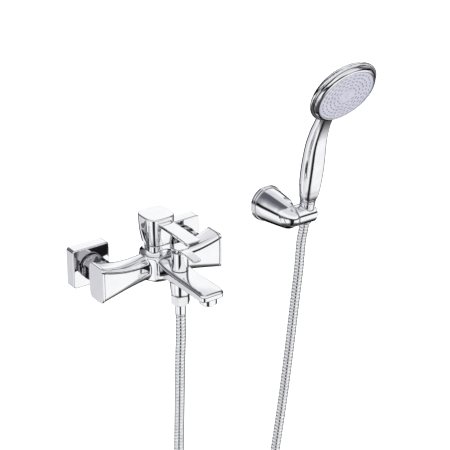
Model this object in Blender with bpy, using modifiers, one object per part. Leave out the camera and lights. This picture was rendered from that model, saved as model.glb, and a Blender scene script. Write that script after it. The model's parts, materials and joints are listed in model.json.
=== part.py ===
"""Wall mounted bath mixer with a diverter, a hose and a hand shower on a swivelling wall holder.

Frame: metres, +Z up. The finished wall is the plane y = 0 and the room is towards -Y.
+X is to the right for a person facing the wall. The origin lies on the wall, midway
between the two water inlets.
"""

import math

import bmesh
import bpy
import numpy as np
from mathutils import Matrix, Vector

# ---------------------------------------------------------------- driving dimensions
GAP = 0.0003                # clearance between pieces that touch

INLET_X = 0.075             # half of the 150 mm inlet spacing
PLATE_SIDE = 0.0575         # square wall plates
PLATE_DEPTH = 0.0196
PIPE_RADIUS = 0.0105        # G1/2 wall thread
PIPE_BEHIND_WALL = 0.018
UNION_RADIUS = 0.0140       # G3/4 thread under the union nut
UNION_FRONT = -0.0374
NUT_RADIUS = 0.0186         # hexagon, corner radius
NUT_BACK = -0.0225
NUT_FRONT = -0.0470

BODY_Y = -0.0675            # axis of the mixer body, from the wall
BODY_HALF = 0.0935          # half length of the casting
ARM_END_Y = 0.0170          # half depth and half height at the arm ends
ARM_END_Z = 0.0262
ARM_WALL = 0.0032
CAP_THICK = 0.0038
CAP_OVERHANG = 0.0005
HUB_RADIUS = 0.0225
HUB_TOP = 0.0215
HUB_BOTTOM = -0.0152

DIVERTER_Y = -0.125         # diverter, shower outlet and hose share this vertical axis
SPOUT_TIP_Y = -0.206
SPOUT_CORNER = 0.0080
AERATOR_Y = -0.1915

COLLAR_BASE = HUB_TOP + GAP
SEAM_Z = 0.0360             # between the collar and the handle
HANDLE_TOP = 0.0787
PIVOT_Z = 0.0330            # tilting axis of the handle
RELIEF_Z = 0.0285           # the collar steps in above this height, behind the tilting axis
NECK_HALF = 0.0143
LEVER_TOP = 0.0724
LEVER_THICK = 0.0048
LEVER_HALF = 0.0112
LEVER_TIP_Y = -0.1585

SEAT_Z = 0.0172             # flat seat of the diverter on the spout
BONNET_RADIUS = 0.0117
BONNET_TOP = 0.0440
DIVERTER_TOP = 0.0508
DIVERTER_TIP_Y = -0.1670

BOSS_BOTTOM = -0.0204
OUTLET_RADIUS = 0.0124
HOSE_NUT_BOTTOM = -0.0340
FERRULE_BOTTOM = -0.0520
HOSE_RADIUS = 0.0070

HOLDER_X = 0.2353           # wall holder, centre of its base
HOLDER_Z = 0.0061
BASE_RADIUS = 0.0276
BASE_DEPTH = 0.0080
SWIVEL_Y = -0.0625          # axis on which the cup tilts, along X
ARM_FACE_X = 0.2380
CUP_LEFT_X = 0.2396
CUP_RIGHT_X = 0.2730
CUP_RADIUS = 0.0152
NOTCH_BACK = -0.0400        # the arm is cut away beside the cup, from here forward
SCREW_HEAD_X = 0.2440       # swivel screw, from inside the socket into the arm
SCREW_TIP_X = 0.2265
SOCKET_X = 0.2620           # hand shower axis
SLOT_HALF = 0.0076
LEAN = math.radians(9.5)    # hand shower leans forward

CONE_BOTTOM = -0.0155       # along the hand shower axis, from the swivel axis
CONE_TOP = 0.0240
CONE_BOTTOM_RADIUS = 0.0092
CONE_TOP_RADIUS = 0.0118
HOSE_END = 0.0050
HOSE_SPLIT = 0.0400          # distance of that parting face from the tilting axis
HANDLE_FOOT = CONE_TOP + GAP
NECK_BEND = 0.105           # height where the handle starts to curve forward
FACE_FORWARD = 0.0485       # centre of the spray face
FACE_HEIGHT = 0.2191
FACE_TILT = math.radians(17.7)
RIM_RADIUS = 0.0535
RING_RADIUS = 0.0495


# ---------------------------------------------------------------- scene helpers
def clear_scene():
    for old in list(bpy.data.objects):
        bpy.data.objects.remove(old, do_unlink=True)


def new_collection(name):
    collection = bpy.data.collections.new(name)
    bpy.context.scene.collection.children.link(collection)
    return collection


clear_scene()
PARTS = new_collection("bath_faucet")
CUTTERS = new_collection("cutters")


def material(name, color, metallic, roughness):
    found = bpy.data.materials.new(name)
    found.use_nodes = True
    shader = found.node_tree.nodes["Principled BSDF"]
    shader.inputs["Base Color"].default_value = (*color, 1.0)
    shader.inputs["Metallic"].default_value = metallic
    shader.inputs["Roughness"].default_value = roughness
    found.diffuse_color = (*color, 1.0)
    return found


CHROME = material("chrome", (0.86, 0.87, 0.89), 1.0, 0.06)
CHROMED_PLASTIC = material("chromed_plastic", (0.84, 0.85, 0.87), 1.0, 0.08)
BRASS = material("brass", (0.78, 0.60, 0.28), 1.0, 0.25)
STEEL = material("steel", (0.66, 0.66, 0.67), 1.0, 0.28)
RUBBER = material("rubber", (0.03, 0.03, 0.03), 0.0, 0.7)
CERAMIC = material("ceramic", (0.90, 0.89, 0.85), 0.0, 0.2)
NYLON = material("nylon", (0.80, 0.80, 0.78), 0.0, 0.45)
FACE_PLASTIC = material("face_plastic", (0.62, 0.62, 0.68), 0.0, 0.35)
SILICONE = material("silicone", (0.22, 0.22, 0.25), 0.0, 0.6)
HOSE_STEEL = material("hose_steel", (0.75, 0.75, 0.77), 1.0, 0.2)


def move_to(obj, collection):
    for home in list(obj.users_collection):
        home.objects.unlink(obj)
    collection.objects.link(obj)


def empty(name, location, rotation=(0.0, 0.0, 0.0), parent=None):
    guide = bpy.data.objects.new(name, None)
    guide.location = location
    guide.rotation_euler = rotation
    guide.parent = parent
    PARTS.objects.link(guide)
    return guide


def shade(obj, angle=40.0):
    obj.data.shade_smooth()
    obj.data.set_sharp_from_angle(angle=math.radians(angle))


def part(obj, name, finish, parent=None, location=None):
    """Give a built shape its name, finish and place as a sub-part."""
    obj.name = name
    obj.data.name = name
    obj.data.materials.clear()
    obj.data.materials.append(finish)
    obj.parent = parent
    if location is not None:
        obj.location = location
    move_to(obj, PARTS)
    return obj


def helper(obj, parent=None):
    """Hide a shape that only cuts or extends another one."""
    move_to(obj, CUTTERS)
    obj.parent = parent
    obj.hide_render = True
    obj.display_type = "WIRE"
    return obj


def boolean(obj, other, operation):
    modifier = obj.modifiers.new(operation.lower(), "BOOLEAN")
    modifier.operation = operation
    modifier.solver = "EXACT"
    modifier.object = other
    return obj


def cut(obj, other, parent=None):
    return boolean(obj, helper(other, parent), "DIFFERENCE")


def add(obj, other, parent=None):
    return boolean(obj, helper(other, parent), "UNION")


# ---------------------------------------------------------------- shapes
def cylinder(radius, low, high, axis="Z", centre=(0.0, 0.0), segments=20, top_radius=None):
    """Cylinder or cone from low to high along an axis; centre holds the other two coordinates."""
    mesh = bpy.data.meshes.new("cylinder")
    builder = bmesh.new()
    bmesh.ops.create_cone(
        builder, cap_ends=True, segments=segments, radius1=radius,
        radius2=radius if top_radius is None else top_radius, depth=high - low)
    middle = 0.5 * (low + high)
    if axis == "X":
        bmesh.ops.rotate(builder, verts=builder.verts, matrix=Matrix.Rotation(math.pi / 2, 3, "Y"))
        bmesh.ops.translate(builder, verts=builder.verts, vec=(middle, centre[0], centre[1]))
    elif axis == "Y":
        bmesh.ops.rotate(builder, verts=builder.verts, matrix=Matrix.Rotation(-math.pi / 2, 3, "X"))
        bmesh.ops.translate(builder, verts=builder.verts, vec=(centre[0], middle, centre[1]))
    else:
        bmesh.ops.translate(builder, verts=builder.verts, vec=(centre[0], centre[1], middle))
    builder.to_mesh(mesh)
    builder.free()
    obj = bpy.data.objects.new("cylinder", mesh)
    PARTS.objects.link(obj)
    shade(obj)
    return obj


def box(low, high, bevel=0.0, bevel_segments=2):
    mesh = bpy.data.meshes.new("box")
    builder = bmesh.new()
    bmesh.ops.create_cube(builder, size=1.0)
    size = [b - a for a, b in zip(low, high)]
    middle = [0.5 * (a + b) for a, b in zip(low, high)]
    bmesh.ops.scale(builder, verts=builder.verts, vec=size)
    bmesh.ops.translate(builder, verts=builder.verts, vec=middle)
    builder.to_mesh(mesh)
    builder.free()
    obj = bpy.data.objects.new("box", mesh)
    PARTS.objects.link(obj)
    if bevel:
        rounding = obj.modifiers.new("bevel", "BEVEL")
        rounding.width = bevel
        rounding.segments = bevel_segments
        rounding.limit_method = "ANGLE"
    shade(obj)
    return obj


def sphere(radius, centre, segments=16, rings=10):
    mesh = bpy.data.meshes.new("sphere")
    builder = bmesh.new()
    bmesh.ops.create_uvsphere(builder, u_segments=segments, v_segments=rings, radius=radius)
    bmesh.ops.translate(builder, verts=builder.verts, vec=centre)
    builder.to_mesh(mesh)
    builder.free()
    obj = bpy.data.objects.new("sphere", mesh)
    PARTS.objects.link(obj)
    shade(obj)
    return obj


def turned(profile, closed=False, segments=20):
    """Turn a (radius, height) profile, given from the top down its outer side, about Z."""
    mesh = bpy.data.meshes.new("turned")
    points = [(radius, 0.0, height) for radius, height in profile]
    edges = [(i, i + 1) for i in range(len(points) - 1)]
    if closed:
        edges.append((len(points) - 1, 0))
    mesh.from_pydata(points, edges, [])
    obj = bpy.data.objects.new("turned", mesh)
    PARTS.objects.link(obj)
    screw = obj.modifiers.new("screw", "SCREW")
    screw.axis = "Z"
    screw.angle = 2 * math.pi
    screw.steps = segments
    screw.render_steps = segments
    screw.use_merge_vertices = True
    screw.merge_threshold = 0.00001
    return obj


def ring(outer, inner, low, high, segments=16):
    return turned([(outer, high), (outer, low), (inner, low), (inner, high)], True, segments)


def baked(obj):
    """Replace a shape by its evaluated mesh, so that it can be rotated and cut like any other."""
    bpy.context.view_layer.update()
    graph = bpy.context.evaluated_depsgraph_get()
    mesh = bpy.data.meshes.new_from_object(obj.evaluated_get(graph))
    builder = bmesh.new()
    builder.from_mesh(mesh)
    bmesh.ops.remove_doubles(builder, verts=builder.verts, dist=0.00001)
    builder.to_mesh(mesh)
    builder.free()
    solid = bpy.data.objects.new(obj.name, mesh)
    solid.matrix_world = obj.matrix_world
    PARTS.objects.link(solid)
    bpy.data.objects.remove(obj, do_unlink=True)
    shade(solid)
    return solid


def aligned(obj, axis, centre=(0.0, 0.0)):
    """Lay a shape turned about Z along X or Y; its height becomes the x or y coordinate."""
    solid = baked(obj)
    if axis == "X":
        turn = Matrix.Rotation(math.pi / 2, 4, "Y")
        shift = Matrix.Translation((0.0, centre[0], centre[1]))
    else:
        turn = Matrix.Rotation(-math.pi / 2, 4, "X")
        shift = Matrix.Translation((centre[0], 0.0, centre[1]))
    solid.data.transform(shift @ turn)
    return solid


def superellipse(half_a, half_b, power=4.0, count=20):
    """Points of a rounded rectangle with slightly bulging sides."""
    points = []
    for i in range(count):
        angle = 2 * math.pi * (i + 0.5) / count
        c, s = math.cos(angle), math.sin(angle)
        a = math.copysign(abs(c) ** (2 / power), c)
        b = math.copysign(abs(s) ** (2 / power), s)
        points.append((half_a * a, half_b * b))
    return points


def rounded_square(half, radius, per_corner=4):
    """Square outline with round corners of a given radius."""
    points = []
    for corner in range(4):
        middle = (half - radius) * math.sqrt(2.0)
        heading = math.pi / 4 + corner * math.pi / 2
        for step in range(per_corner):
            angle = corner * math.pi / 2 + step * math.pi / 2 / (per_corner - 1)
            points.append((
                middle * math.cos(heading) + radius * math.cos(angle),
                middle * math.sin(heading) + radius * math.sin(angle)))
    return points


def loft(rings, name="loft"):
    """Closed skin through rings of equal point count, with flat ends."""
    mesh = bpy.data.meshes.new(name)
    builder = bmesh.new()
    rows = [[builder.verts.new(point) for point in one] for one in rings]
    count = len(rings[0])
    for lower, upper in zip(rows, rows[1:]):
        for i in range(count):
            j = (i + 1) % count
            builder.faces.new((lower[i], lower[j], upper[j], upper[i]))
    builder.faces.new(list(reversed(rows[0])))
    builder.faces.new(rows[-1])
    bmesh.ops.recalc_face_normals(builder, faces=builder.faces)
    builder.to_mesh(mesh)
    builder.free()
    obj = bpy.data.objects.new(name, mesh)
    PARTS.objects.link(obj)
    shade(obj)
    return obj


def upright_loft(levels, centre, power, count=20):
    """Loft of rounded squares (height, half width) about a vertical axis."""
    rings = []
    for height, half in levels:
        outline = superellipse(half, half, power, count)
        rings.append([(centre[0] + a, centre[1] + b, height) for a, b in outline])
    return loft(rings)


# ---------------------------------------------------------------- mixer body
def arm_section(x, inset=0.0):
    """Waisted arm: the oval of the middle grows into the tall square of the ends."""
    distances = (0.0, 0.026, 0.045, 0.062, 0.078, BODY_HALF)
    tops = (0.0212, 0.0206, 0.0190, 0.0194, 0.0222, ARM_END_Z)
    bottoms = (-0.0150, -0.0160, -0.0182, -0.0208, -0.0236, -ARM_END_Z)
    depths = (0.0152, 0.0150, 0.0148, 0.0152, 0.0160, ARM_END_Y)
    reach = abs(x)
    top = float(np.interp(reach, distances, tops)) - inset
    bottom = float(np.interp(reach, distances, bottoms)) + inset
    half_y = float(np.interp(reach, distances, depths)) - inset
    power = 2.8 + 2.4 * min(reach / BODY_HALF, 1.0)
    outline = superellipse(half_y, 0.5 * (top - bottom), power)
    return [(x, BODY_Y + a, 0.5 * (top + bottom) + b) for a, b in outline]


def spout_section(y):
    """Flat spout: (half width, top, bottom) eased between stations, rounded at the tip."""
    stations = (-0.206, -0.190, -0.160, -0.130, -0.112, -0.098, -0.085, -0.069)
    widths = (0.0178, 0.0178, 0.0172, 0.0168, 0.0170, 0.0186, 0.0208, 0.0212)
    tops = (0.0150, 0.0155, 0.0163, 0.0172, 0.0182, 0.0196, 0.0213, 0.0215)
    bottoms = (0.0042, 0.0036, 0.0036, 0.0030, 0.0002, -0.0065, -0.0125, -0.0145)
    half = float(np.interp(y, stations, widths))
    top = float(np.interp(y, stations, tops))
    bottom = float(np.interp(y, stations, bottoms))
    from_tip = y - SPOUT_TIP_Y
    if from_tip < SPOUT_CORNER:
        reach = math.sqrt(max(SPOUT_CORNER ** 2 - (SPOUT_CORNER - from_tip) ** 2, 0.0))
        half -= SPOUT_CORNER - max(reach, 0.0012)
    middle = 0.5 * (top + bottom)
    outline = superellipse(half, 0.5 * (top - bottom), 6.0, 16)
    return [(a, y, middle + b) for a, b in outline]


def make_mixer_body():
    stations = [BODY_HALF * t for t in (-1.0, -0.83, -0.66, -0.48, -0.28, 0.0, 0.28, 0.48, 0.66, 0.83, 1.0)]
    body = loft([arm_section(x) for x in stations])
    hub = cylinder(HUB_RADIUS, HUB_BOTTOM, HUB_TOP, centre=(0.0, BODY_Y), segments=28)
    rounding = hub.modifiers.new("bevel", "BEVEL")
    rounding.width = 0.0025
    rounding.segments = 2
    add(body, hub)
    spout_stations = [-0.206, -0.2045, -0.202, -0.198, -0.190, -0.160, -0.130]
    spout_stations += [-0.118, -0.110, -0.104, -0.098, -0.091, -0.085, -0.069]
    add(body, loft([spout_section(y) for y in spout_stations]))
    add(body, cylinder(OUTLET_RADIUS, BOSS_BOTTOM, 0.008, centre=(0.0, DIVERTER_Y), segments=24))

    for side in (-1, 1):
        add(body, cylinder(0.0125, -0.058, -0.0400, "Y", (side * INLET_X, 0.0)))
        add(body, cylinder(0.0140, -0.0430, -0.0400, "Y", (side * INLET_X, 0.0)))
        inner = [side * x for x in (0.028, 0.055, 0.078, BODY_HALF + 0.001)]
        cut(body, loft([arm_section(x, ARM_WALL) for x in inner]))
        cut(body, cylinder(0.0080, -0.060, -0.0390, "Y", (side * INLET_X, 0.0), 20))
        port = sorted((side * 0.010, side * 0.031))
        cut(body, cylinder(0.0032, port[0], port[1], "X", (BODY_Y, -0.0030), 12))

    cut(body, cylinder(0.0130, -0.0070, HUB_TOP + 0.004, centre=(0.0, BODY_Y)))
    cut(body, cylinder(0.0085, -0.0115, 0.0020, centre=(0.0, BODY_Y), segments=16))
    cut(body, cylinder(BONNET_RADIUS + 0.0006, SEAT_Z, 0.030, centre=(0.0, DIVERTER_Y), segments=24))
    cut(body, cylinder(0.0096, -0.004, 0.030, centre=(0.0, DIVERTER_Y), segments=20))
    cut(body, cylinder(0.0070, BOSS_BOTTOM - 0.002, 0.0, centre=(0.0, DIVERTER_Y), segments=16))
    cut(body, cylinder(0.0107, BOSS_BOTTOM - 0.002, -0.0100, centre=(0.0, DIVERTER_Y), segments=20))
    feed_start = Vector((0.0, BODY_Y - 0.003, -0.0078))
    feed_end = Vector((0.0, DIVERTER_Y + 0.006, 0.0085))
    feed = cylinder(0.0032, 0.0, (feed_end - feed_start).length, segments=12)
    run = feed_end - feed_start
    feed.data.transform(Matrix.Translation(feed_start) @ run.to_track_quat("Z", "Y").to_matrix().to_4x4())
    cut(body, feed)
    cut(body, cylinder(0.0036, AERATOR_Y, DIVERTER_Y - 0.004, "Y", (0.0, 0.0090), 12))
    cut(body, cylinder(0.0106, -0.004, 0.0118, centre=(0.0, AERATOR_Y), segments=20))
    return part(body, "mixer_body", CHROME)


def make_end_cap(side, name):
    inner = side * (BODY_HALF + GAP)
    grow = (-0.0006, CAP_OVERHANG, CAP_OVERHANG, 0.0, -0.0016)
    starts = (0.0, 0.0003, 0.4 * CAP_THICK, 0.85 * CAP_THICK, CAP_THICK)
    rings = []
    for offset, extra in zip(starts, grow):
        outline = superellipse(ARM_END_Y + extra, ARM_END_Z + extra, 5.2)
        rings.append([(inner + side * offset, BODY_Y + a, b) for a, b in outline])
    cap = loft(rings)
    plug = [side * (BODY_HALF - 0.008), side * (BODY_HALF + 0.002)]
    add(cap, loft([arm_section(x, ARM_WALL + GAP + 0.0004) for x in plug]))
    return part(cap, name, CHROME)


def make_wall_plate(side, name):
    half = 0.5 * PLATE_SIDE
    x = side * INLET_X
    depths = (0.0, -PLATE_DEPTH + 0.0022, -PLATE_DEPTH + 0.0006, -PLATE_DEPTH)
    halves = (half, half, half - 0.0008, half - 0.0024)
    rings = []
    for y, reach in zip(depths, halves):
        outline = rounded_square(reach, 0.0045)
        rings.append([(x + a, y, b) for a, b in outline])
    plate = loft(rings)
    inner = half - 0.0022
    hollow = box((x - inner, -PLATE_DEPTH + 0.0024, -inner), (x + inner, 0.002, inner), 0.003, 1)
    cut(plate, hollow)
    cut(plate, cylinder(PIPE_RADIUS + 0.0007, -PLATE_DEPTH - 0.002, 0.001, "Y", (x, 0.0)))
    return part(plate, name, CHROME)


def make_inlet_union(side, name):
    """Threaded pipe out of the wall with the seat for the union nut; the bore runs right through."""
    profile = [
        (PIPE_RADIUS, PIPE_BEHIND_WALL), (PIPE_RADIUS, -0.0215),
        (UNION_RADIUS, -0.0215), (UNION_RADIUS, UNION_FRONT),
        (0.0075, UNION_FRONT), (0.0075, PIPE_BEHIND_WALL)]
    return part(aligned(turned(profile, True), "Y", (side * INLET_X, 0.0)), name, BRASS)


def make_union_nut(side, name):
    centre = (side * INLET_X, 0.0)
    nut = cylinder(NUT_RADIUS, NUT_FRONT, NUT_BACK, "Y", centre, 6)
    rounding = nut.modifiers.new("bevel", "BEVEL")
    rounding.width = 0.0012
    rounding.segments = 1
    cut(nut, cylinder(0.0128, NUT_FRONT - 0.002, NUT_BACK, "Y", centre))
    cut(nut, cylinder(0.0143, -0.0435, NUT_BACK + 0.002, "Y", centre))
    return part(nut, name, CHROME)


def make_inlet_washer(side, name):
    washer = ring(0.0136, 0.0085, -0.0397, -0.0377)
    return part(aligned(washer, "Y", (side * INLET_X, 0.0)), name, RUBBER)


def make_aerator():
    centre = (0.0, AERATOR_Y)
    profile = [
        (0.0102, 0.0108), (0.0102, 0.0030), (0.0118, 0.0030), (0.0118, -0.0052), (0.0110, -0.0060),
        (0.0088, -0.0060), (0.0088, 0.0108)]
    housing = turned(profile, True)
    part(baked(housing), "aerator_housing", CHROME, location=(*centre, 0.0))
    insert = ring(0.0085, 0.0025, -0.0048, 0.0070, 20)
    part(baked(insert), "aerator_insert", NYLON, location=(*centre, 0.0))


# ---------------------------------------------------------------- cartridge and handle
def make_cartridge(swivel, tilt):
    centre = (0.0, BODY_Y, 0.0)
    seal = ring(0.0112, 0.0060, -0.0067, -0.0038)
    part(baked(seal), "cartridge_seal", RUBBER, location=centre)
    housing_profile = [
        (0.0080, 0.0350), (0.0080, 0.0262), (0.0112, 0.0262), (0.0112, 0.0110), (0.0125, 0.0110),
        (0.0125, -0.0035), (0.0060, -0.0035), (0.0060, 0.0122), (0.0098, 0.0122), (0.0098, 0.0245),
        (0.0062, 0.0245), (0.0062, 0.0350)]
    part(baked(turned(housing_profile, True)), "cartridge_housing", NYLON, location=centre)
    part(baked(ring(0.0128, 0.0115, 0.0113, 0.0220, 20)), "cartridge_nut", BRASS, location=centre)
    part(baked(ring(0.0094, 0.0030, 0.0125, 0.0155)), "fixed_disc", CERAMIC, location=centre)
    disc = cylinder(0.0062, 0.0158, 0.0192, centre=(0.0, 0.0031))
    cut(disc, cylinder(0.0034, 0.0140, 0.0210, segments=16), swivel)
    part(disc, "moving_disc", CERAMIC, swivel)

    half = 0.0035
    stem = box((-half, -half, 0.0030), (half, half, 0.0330))
    add(stem, sphere(0.0048, (0.0, 0.0, 0.0)), tilt)
    add(stem, cylinder(0.0016, -0.0146, 0.0, segments=12), tilt)
    part(stem, "cartridge_stem", STEEL, tilt)


def make_collar(swivel):
    """Square collar that turns with the handle; its back is relieved for the tilting handle."""
    levels = ((COLLAR_BASE, 0.0184), (0.0260, 0.0177), (0.0310, 0.0173), (SEAM_Z, 0.0173))
    collar = upright_loft(levels, (0.0, 0.0), 5.0)
    reach = 0.030
    relief = box((-reach, 0.0, RELIEF_Z), (reach, reach, 0.060))
    neck = upright_loft(((0.015, NECK_HALF), (0.070, NECK_HALF)), (0.0, 0.0), 4.0)
    cut(relief, neck, swivel)
    cut(collar, relief, swivel)
    cut(collar, cylinder(0.0132, COLLAR_BASE - 0.002, 0.0274), swivel)
    cut(collar, cylinder(0.0088, 0.020, SEAM_Z + 0.002, segments=20), swivel)
    part(collar, "trim_collar", CHROME, swivel)


def lever_loft(half_root, half_tip, y_root, y_tip, top_root, top_tip, thickness, corner=0.002):
    """Flat lever along -Y with small round corners at its tip."""
    rings = []
    for t, trim in ((0.0, 0.0), (0.45, 0.0), (1.0, 0.0)):
        y = y_root + (y_tip + corner - y_root) * t
        half = half_root + (half_tip - half_root) * t - trim
        top = top_root + (top_tip - top_root) * t
        outline = superellipse(half, 0.5 * thickness, 9.0, 16)
        rings.append([(a, y, top - 0.5 * thickness + b) for a, b in outline])
    for step in (0.5, 1.0):
        y = y_tip + corner * (1 - math.sin(step * math.pi / 2))
        trim = corner * (1 - math.cos(step * math.pi / 2)) * 0.9
        outline = superellipse(half_tip - trim, 0.5 * thickness - 0.3 * trim, 9.0, 16)
        rings.append([(a, y, top_tip - 0.5 * thickness + b) for a, b in outline])
    return loft(rings)


def make_handle(tilt):
    def from_pivot(z):
        return z - PIVOT_Z

    levels = (
        (SEAM_Z + GAP, 0.0171), (0.0410, 0.0181), (0.0470, 0.0191), (0.0550, 0.0202), (0.0650, 0.0209),
        (0.0755, 0.0211), (0.0778, 0.0207), (HANDLE_TOP, 0.0195))
    handle = upright_loft([(from_pivot(z), half) for z, half in levels], (0.0, 0.0), 4.4, 20)
    add(handle, lever_loft(
        0.0100, LEVER_HALF, -0.010, LEVER_TIP_Y - BODY_Y, from_pivot(LEVER_TOP), from_pivot(LEVER_TOP),
        LEVER_THICK), tilt)
    inside = ((0.0330, 0.0150), (0.0410, 0.0156), (0.0470, 0.0166), (0.0550, 0.0177), (0.0660, 0.0183))
    hollow = upright_loft([(from_pivot(z), half) for z, half in inside], (0.0, 0.0), 4.0, 16)
    cut(handle, hollow, tilt)
    add(handle, cylinder(0.0070, from_pivot(0.0500), from_pivot(0.0700), segments=20), tilt)
    socket = 0.0038
    cut(handle, box((-socket, -socket, from_pivot(0.044)), (socket, socket, from_pivot(0.0670))), tilt)
    cut(handle, cylinder(0.0028, 0.0, 0.030, "Y", (0.0, from_pivot(0.0600)), 12), tilt)
    part(handle, "mixer_handle", CHROME, tilt)
    screw = cylinder(0.0025, 0.0041, 0.0102, "Y", (0.0, from_pivot(0.0600)), 12)
    part(screw, "handle_screw", STEEL, tilt)
    plug = cylinder(0.0025, 0.0162, 0.0196, "Y", (0.0, from_pivot(0.0600)), 12)
    part(plug, "handle_plug", NYLON, tilt)


# ---------------------------------------------------------------- diverter and shower outlet
def make_diverter(turning):
    seat_z = SEAT_Z + GAP
    centre = (0.0, DIVERTER_Y, 0.0)
    bonnet_profile = [
        (0.0109, BONNET_TOP), (BONNET_RADIUS, BONNET_TOP - 0.0008), (BONNET_RADIUS, seat_z),
        (0.0093, seat_z), (0.0093, 0.0060), (0.0072, 0.0060), (0.0072, 0.0330), (0.0046, 0.0330),
        (0.0046, BONNET_TOP)]
    part(baked(turned(bonnet_profile, True)), "diverter_bonnet", CHROME, location=centre)
    part(baked(ring(0.0090, 0.0030, 0.0000, 0.0030, 20)), "diverter_seat", CERAMIC, location=centre)
    disc = ring(0.0068, 0.0024, 0.0064, 0.0092, 20)
    part(baked(disc), "diverter_disc", CERAMIC, turning)
    spindle = [
        (0.0, 0.0485), (0.0042, 0.0485), (0.0042, 0.0300), (0.0066, 0.0300), (0.0066, 0.0095),
        (0.0, 0.0095)]
    part(baked(turned(spindle, False, 20)), "diverter_spindle", BRASS, turning)

    levels = ((0.0443, 0.0098), (0.0470, 0.0105), (0.0496, 0.0108), (DIVERTER_TOP, 0.0100))
    handle = upright_loft(levels, (0.0, 0.0), 3.6, 20)
    add(handle, lever_loft(
        0.0072, 0.0063, -0.004, DIVERTER_TIP_Y - DIVERTER_Y, 0.0500, 0.0480, 0.0036), turning)
    cut(handle, cylinder(0.0045, 0.0430, 0.0488, segments=20), turning)
    cut(handle, cylinder(0.0016, 0.0, 0.020, "Y", (0.0, 0.0468), 10), turning)
    part(handle, "diverter_handle", CHROME, turning)
    screw = cylinder(0.0013, 0.0048, 0.0088, "Y", (0.0, 0.0468), 10)
    part(screw, "diverter_screw", STEEL, turning)


def make_outlet():
    centre = (0.0, DIVERTER_Y, 0.0)
    nipple = ring(0.0104, 0.0072, -0.0300, -0.0103)
    part(baked(nipple), "outlet_nipple", BRASS, location=centre)
    valve = ring(0.0069, 0.0022, -0.0285, -0.0125, 20)
    part(baked(valve), "check_valve", NYLON, location=centre)
    washer = ring(0.0101, 0.0060, -0.0318, -0.0303, 20)
    part(baked(washer), "hose_washer", RUBBER, location=centre)
    top = BOSS_BOTTOM - GAP
    nut = cylinder(0.0134, HOSE_NUT_BOTTOM, top, segments=6)
    rounding = nut.modifiers.new("bevel", "BEVEL")
    rounding.width = 0.0008
    rounding.segments = 1
    cut(nut, cylinder(0.0107, -0.0330, top + 0.002))
    nut_hole = cylinder(0.0078, HOSE_NUT_BOTTOM - 0.002, -0.0300)
    cut(nut, nut_hole)
    for shape in [nut] + [m.object for m in nut.modifiers if m.type == "BOOLEAN"]:
        shape.location = centre
    part(nut, "hose_nut", CHROME)
    ferrule = [
        (0.0100, -0.0320), (0.0100, -0.0327), (0.0074, -0.0327), (0.0074, -0.0505), (0.0070, FERRULE_BOTTOM),
        (0.0050, FERRULE_BOTTOM), (0.0050, -0.0320)]
    part(baked(turned(ferrule, True)), "hose_ferrule", CHROME, location=centre)


# ---------------------------------------------------------------- hose
def holder_point(forward, height, side=0.0):
    """World point from hand shower coordinates: forward of, along and beside its axis."""
    y = SWIVEL_Y - forward * math.cos(LEAN) - height * math.sin(LEAN)
    z = HOLDER_Z - forward * math.sin(LEAN) + height * math.cos(LEAN)
    return Vector((SOCKET_X + side, y, z))


def hose_route():
    """Hand-chosen points of the hanging loop, from the mixer outlet to the hand shower."""
    start = Vector((0.0, DIVERTER_Y, FERRULE_BOTTOM - GAP))
    return [
        start,
        start + Vector((0.0, 0.0, -0.030)),
        Vector((-0.0010, -0.1245, -0.115)),
        Vector((-0.0018, -0.1225, -0.190)),
        Vector((-0.0024, -0.1200, -0.273)),
        Vector((-0.0010, -0.1170, -0.360)),
        Vector((0.0060, -0.1130, -0.445)),
        Vector((0.0240, -0.1080, -0.522)),
        Vector((0.0565, -0.1025, -0.580)),
        Vector((0.0980, -0.0965, -0.601)),
        Vector((0.1385, -0.0905, -0.582)),
        Vector((0.1700, -0.0840, -0.528)),
        Vector((0.1900, -0.0775, -0.455)),
        Vector((0.2060, -0.0710, -0.3766)),
        Vector((0.2225, -0.0660, -0.295)),
        Vector((0.2370, -0.0610, -0.215)),
        Vector((0.2490, -0.0575, -0.135)),
        Vector((0.2560, -0.0558, -0.0876)),
        holder_point(0.0, -0.048, -0.0012),
        holder_point(0.0, -0.028, -0.0001),
        holder_point(0.0, -0.012),
        holder_point(0.0, HOSE_END),
    ]


def smooth_curve(points, spacing):
    """Points at an even spacing along a centripetal Catmull-Rom curve through the given points."""
    padded = [2 * points[0] - points[1]] + points + [2 * points[-1] - points[-2]]
    dense = []
    for p0, p1, p2, p3 in zip(padded, padded[1:], padded[2:], padded[3:]):
        t1 = (p1 - p0).length ** 0.5
        t2 = t1 + (p2 - p1).length ** 0.5
        t3 = t2 + (p3 - p2).length ** 0.5
        for step in range(24):
            t = t1 + (t2 - t1) * step / 24
            a1 = p0.lerp(p1, t / t1)
            a2 = p1.lerp(p2, (t - t1) / (t2 - t1))
            a3 = p2.lerp(p3, (t - t2) / (t3 - t2))
            b1 = a1.lerp(a2, t / t2)
            b2 = a2.lerp(a3, (t - t1) / (t3 - t1))
            dense.append(b1.lerp(b2, (t - t1) / (t2 - t1)))
    dense.append(points[-1].copy())
    lengths = [0.0]
    for a, b in zip(dense, dense[1:]):
        lengths.append(lengths[-1] + (b - a).length)
    count = round(lengths[-1] / spacing)
    targets = np.linspace(0.0, lengths[-1], count + 1)
    columns = [np.interp(targets, lengths, [p[axis] for p in dense]) for axis in range(3)]
    return list(zip(*columns))


def tube(points, radius, resolution=2):
    curve = bpy.data.curves.new("tube", "CURVE")
    curve.dimensions = "3D"
    curve.bevel_depth = radius
    curve.bevel_resolution = resolution
    curve.use_fill_caps = True
    spline = curve.splines.new("POLY")
    spline.points.add(len(points) - 1)
    for slot, point in zip(spline.points, points):
        slot.co = (*point, 1.0)
    obj = bpy.data.objects.new("tube", curve)
    PARTS.objects.link(obj)
    return obj


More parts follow.
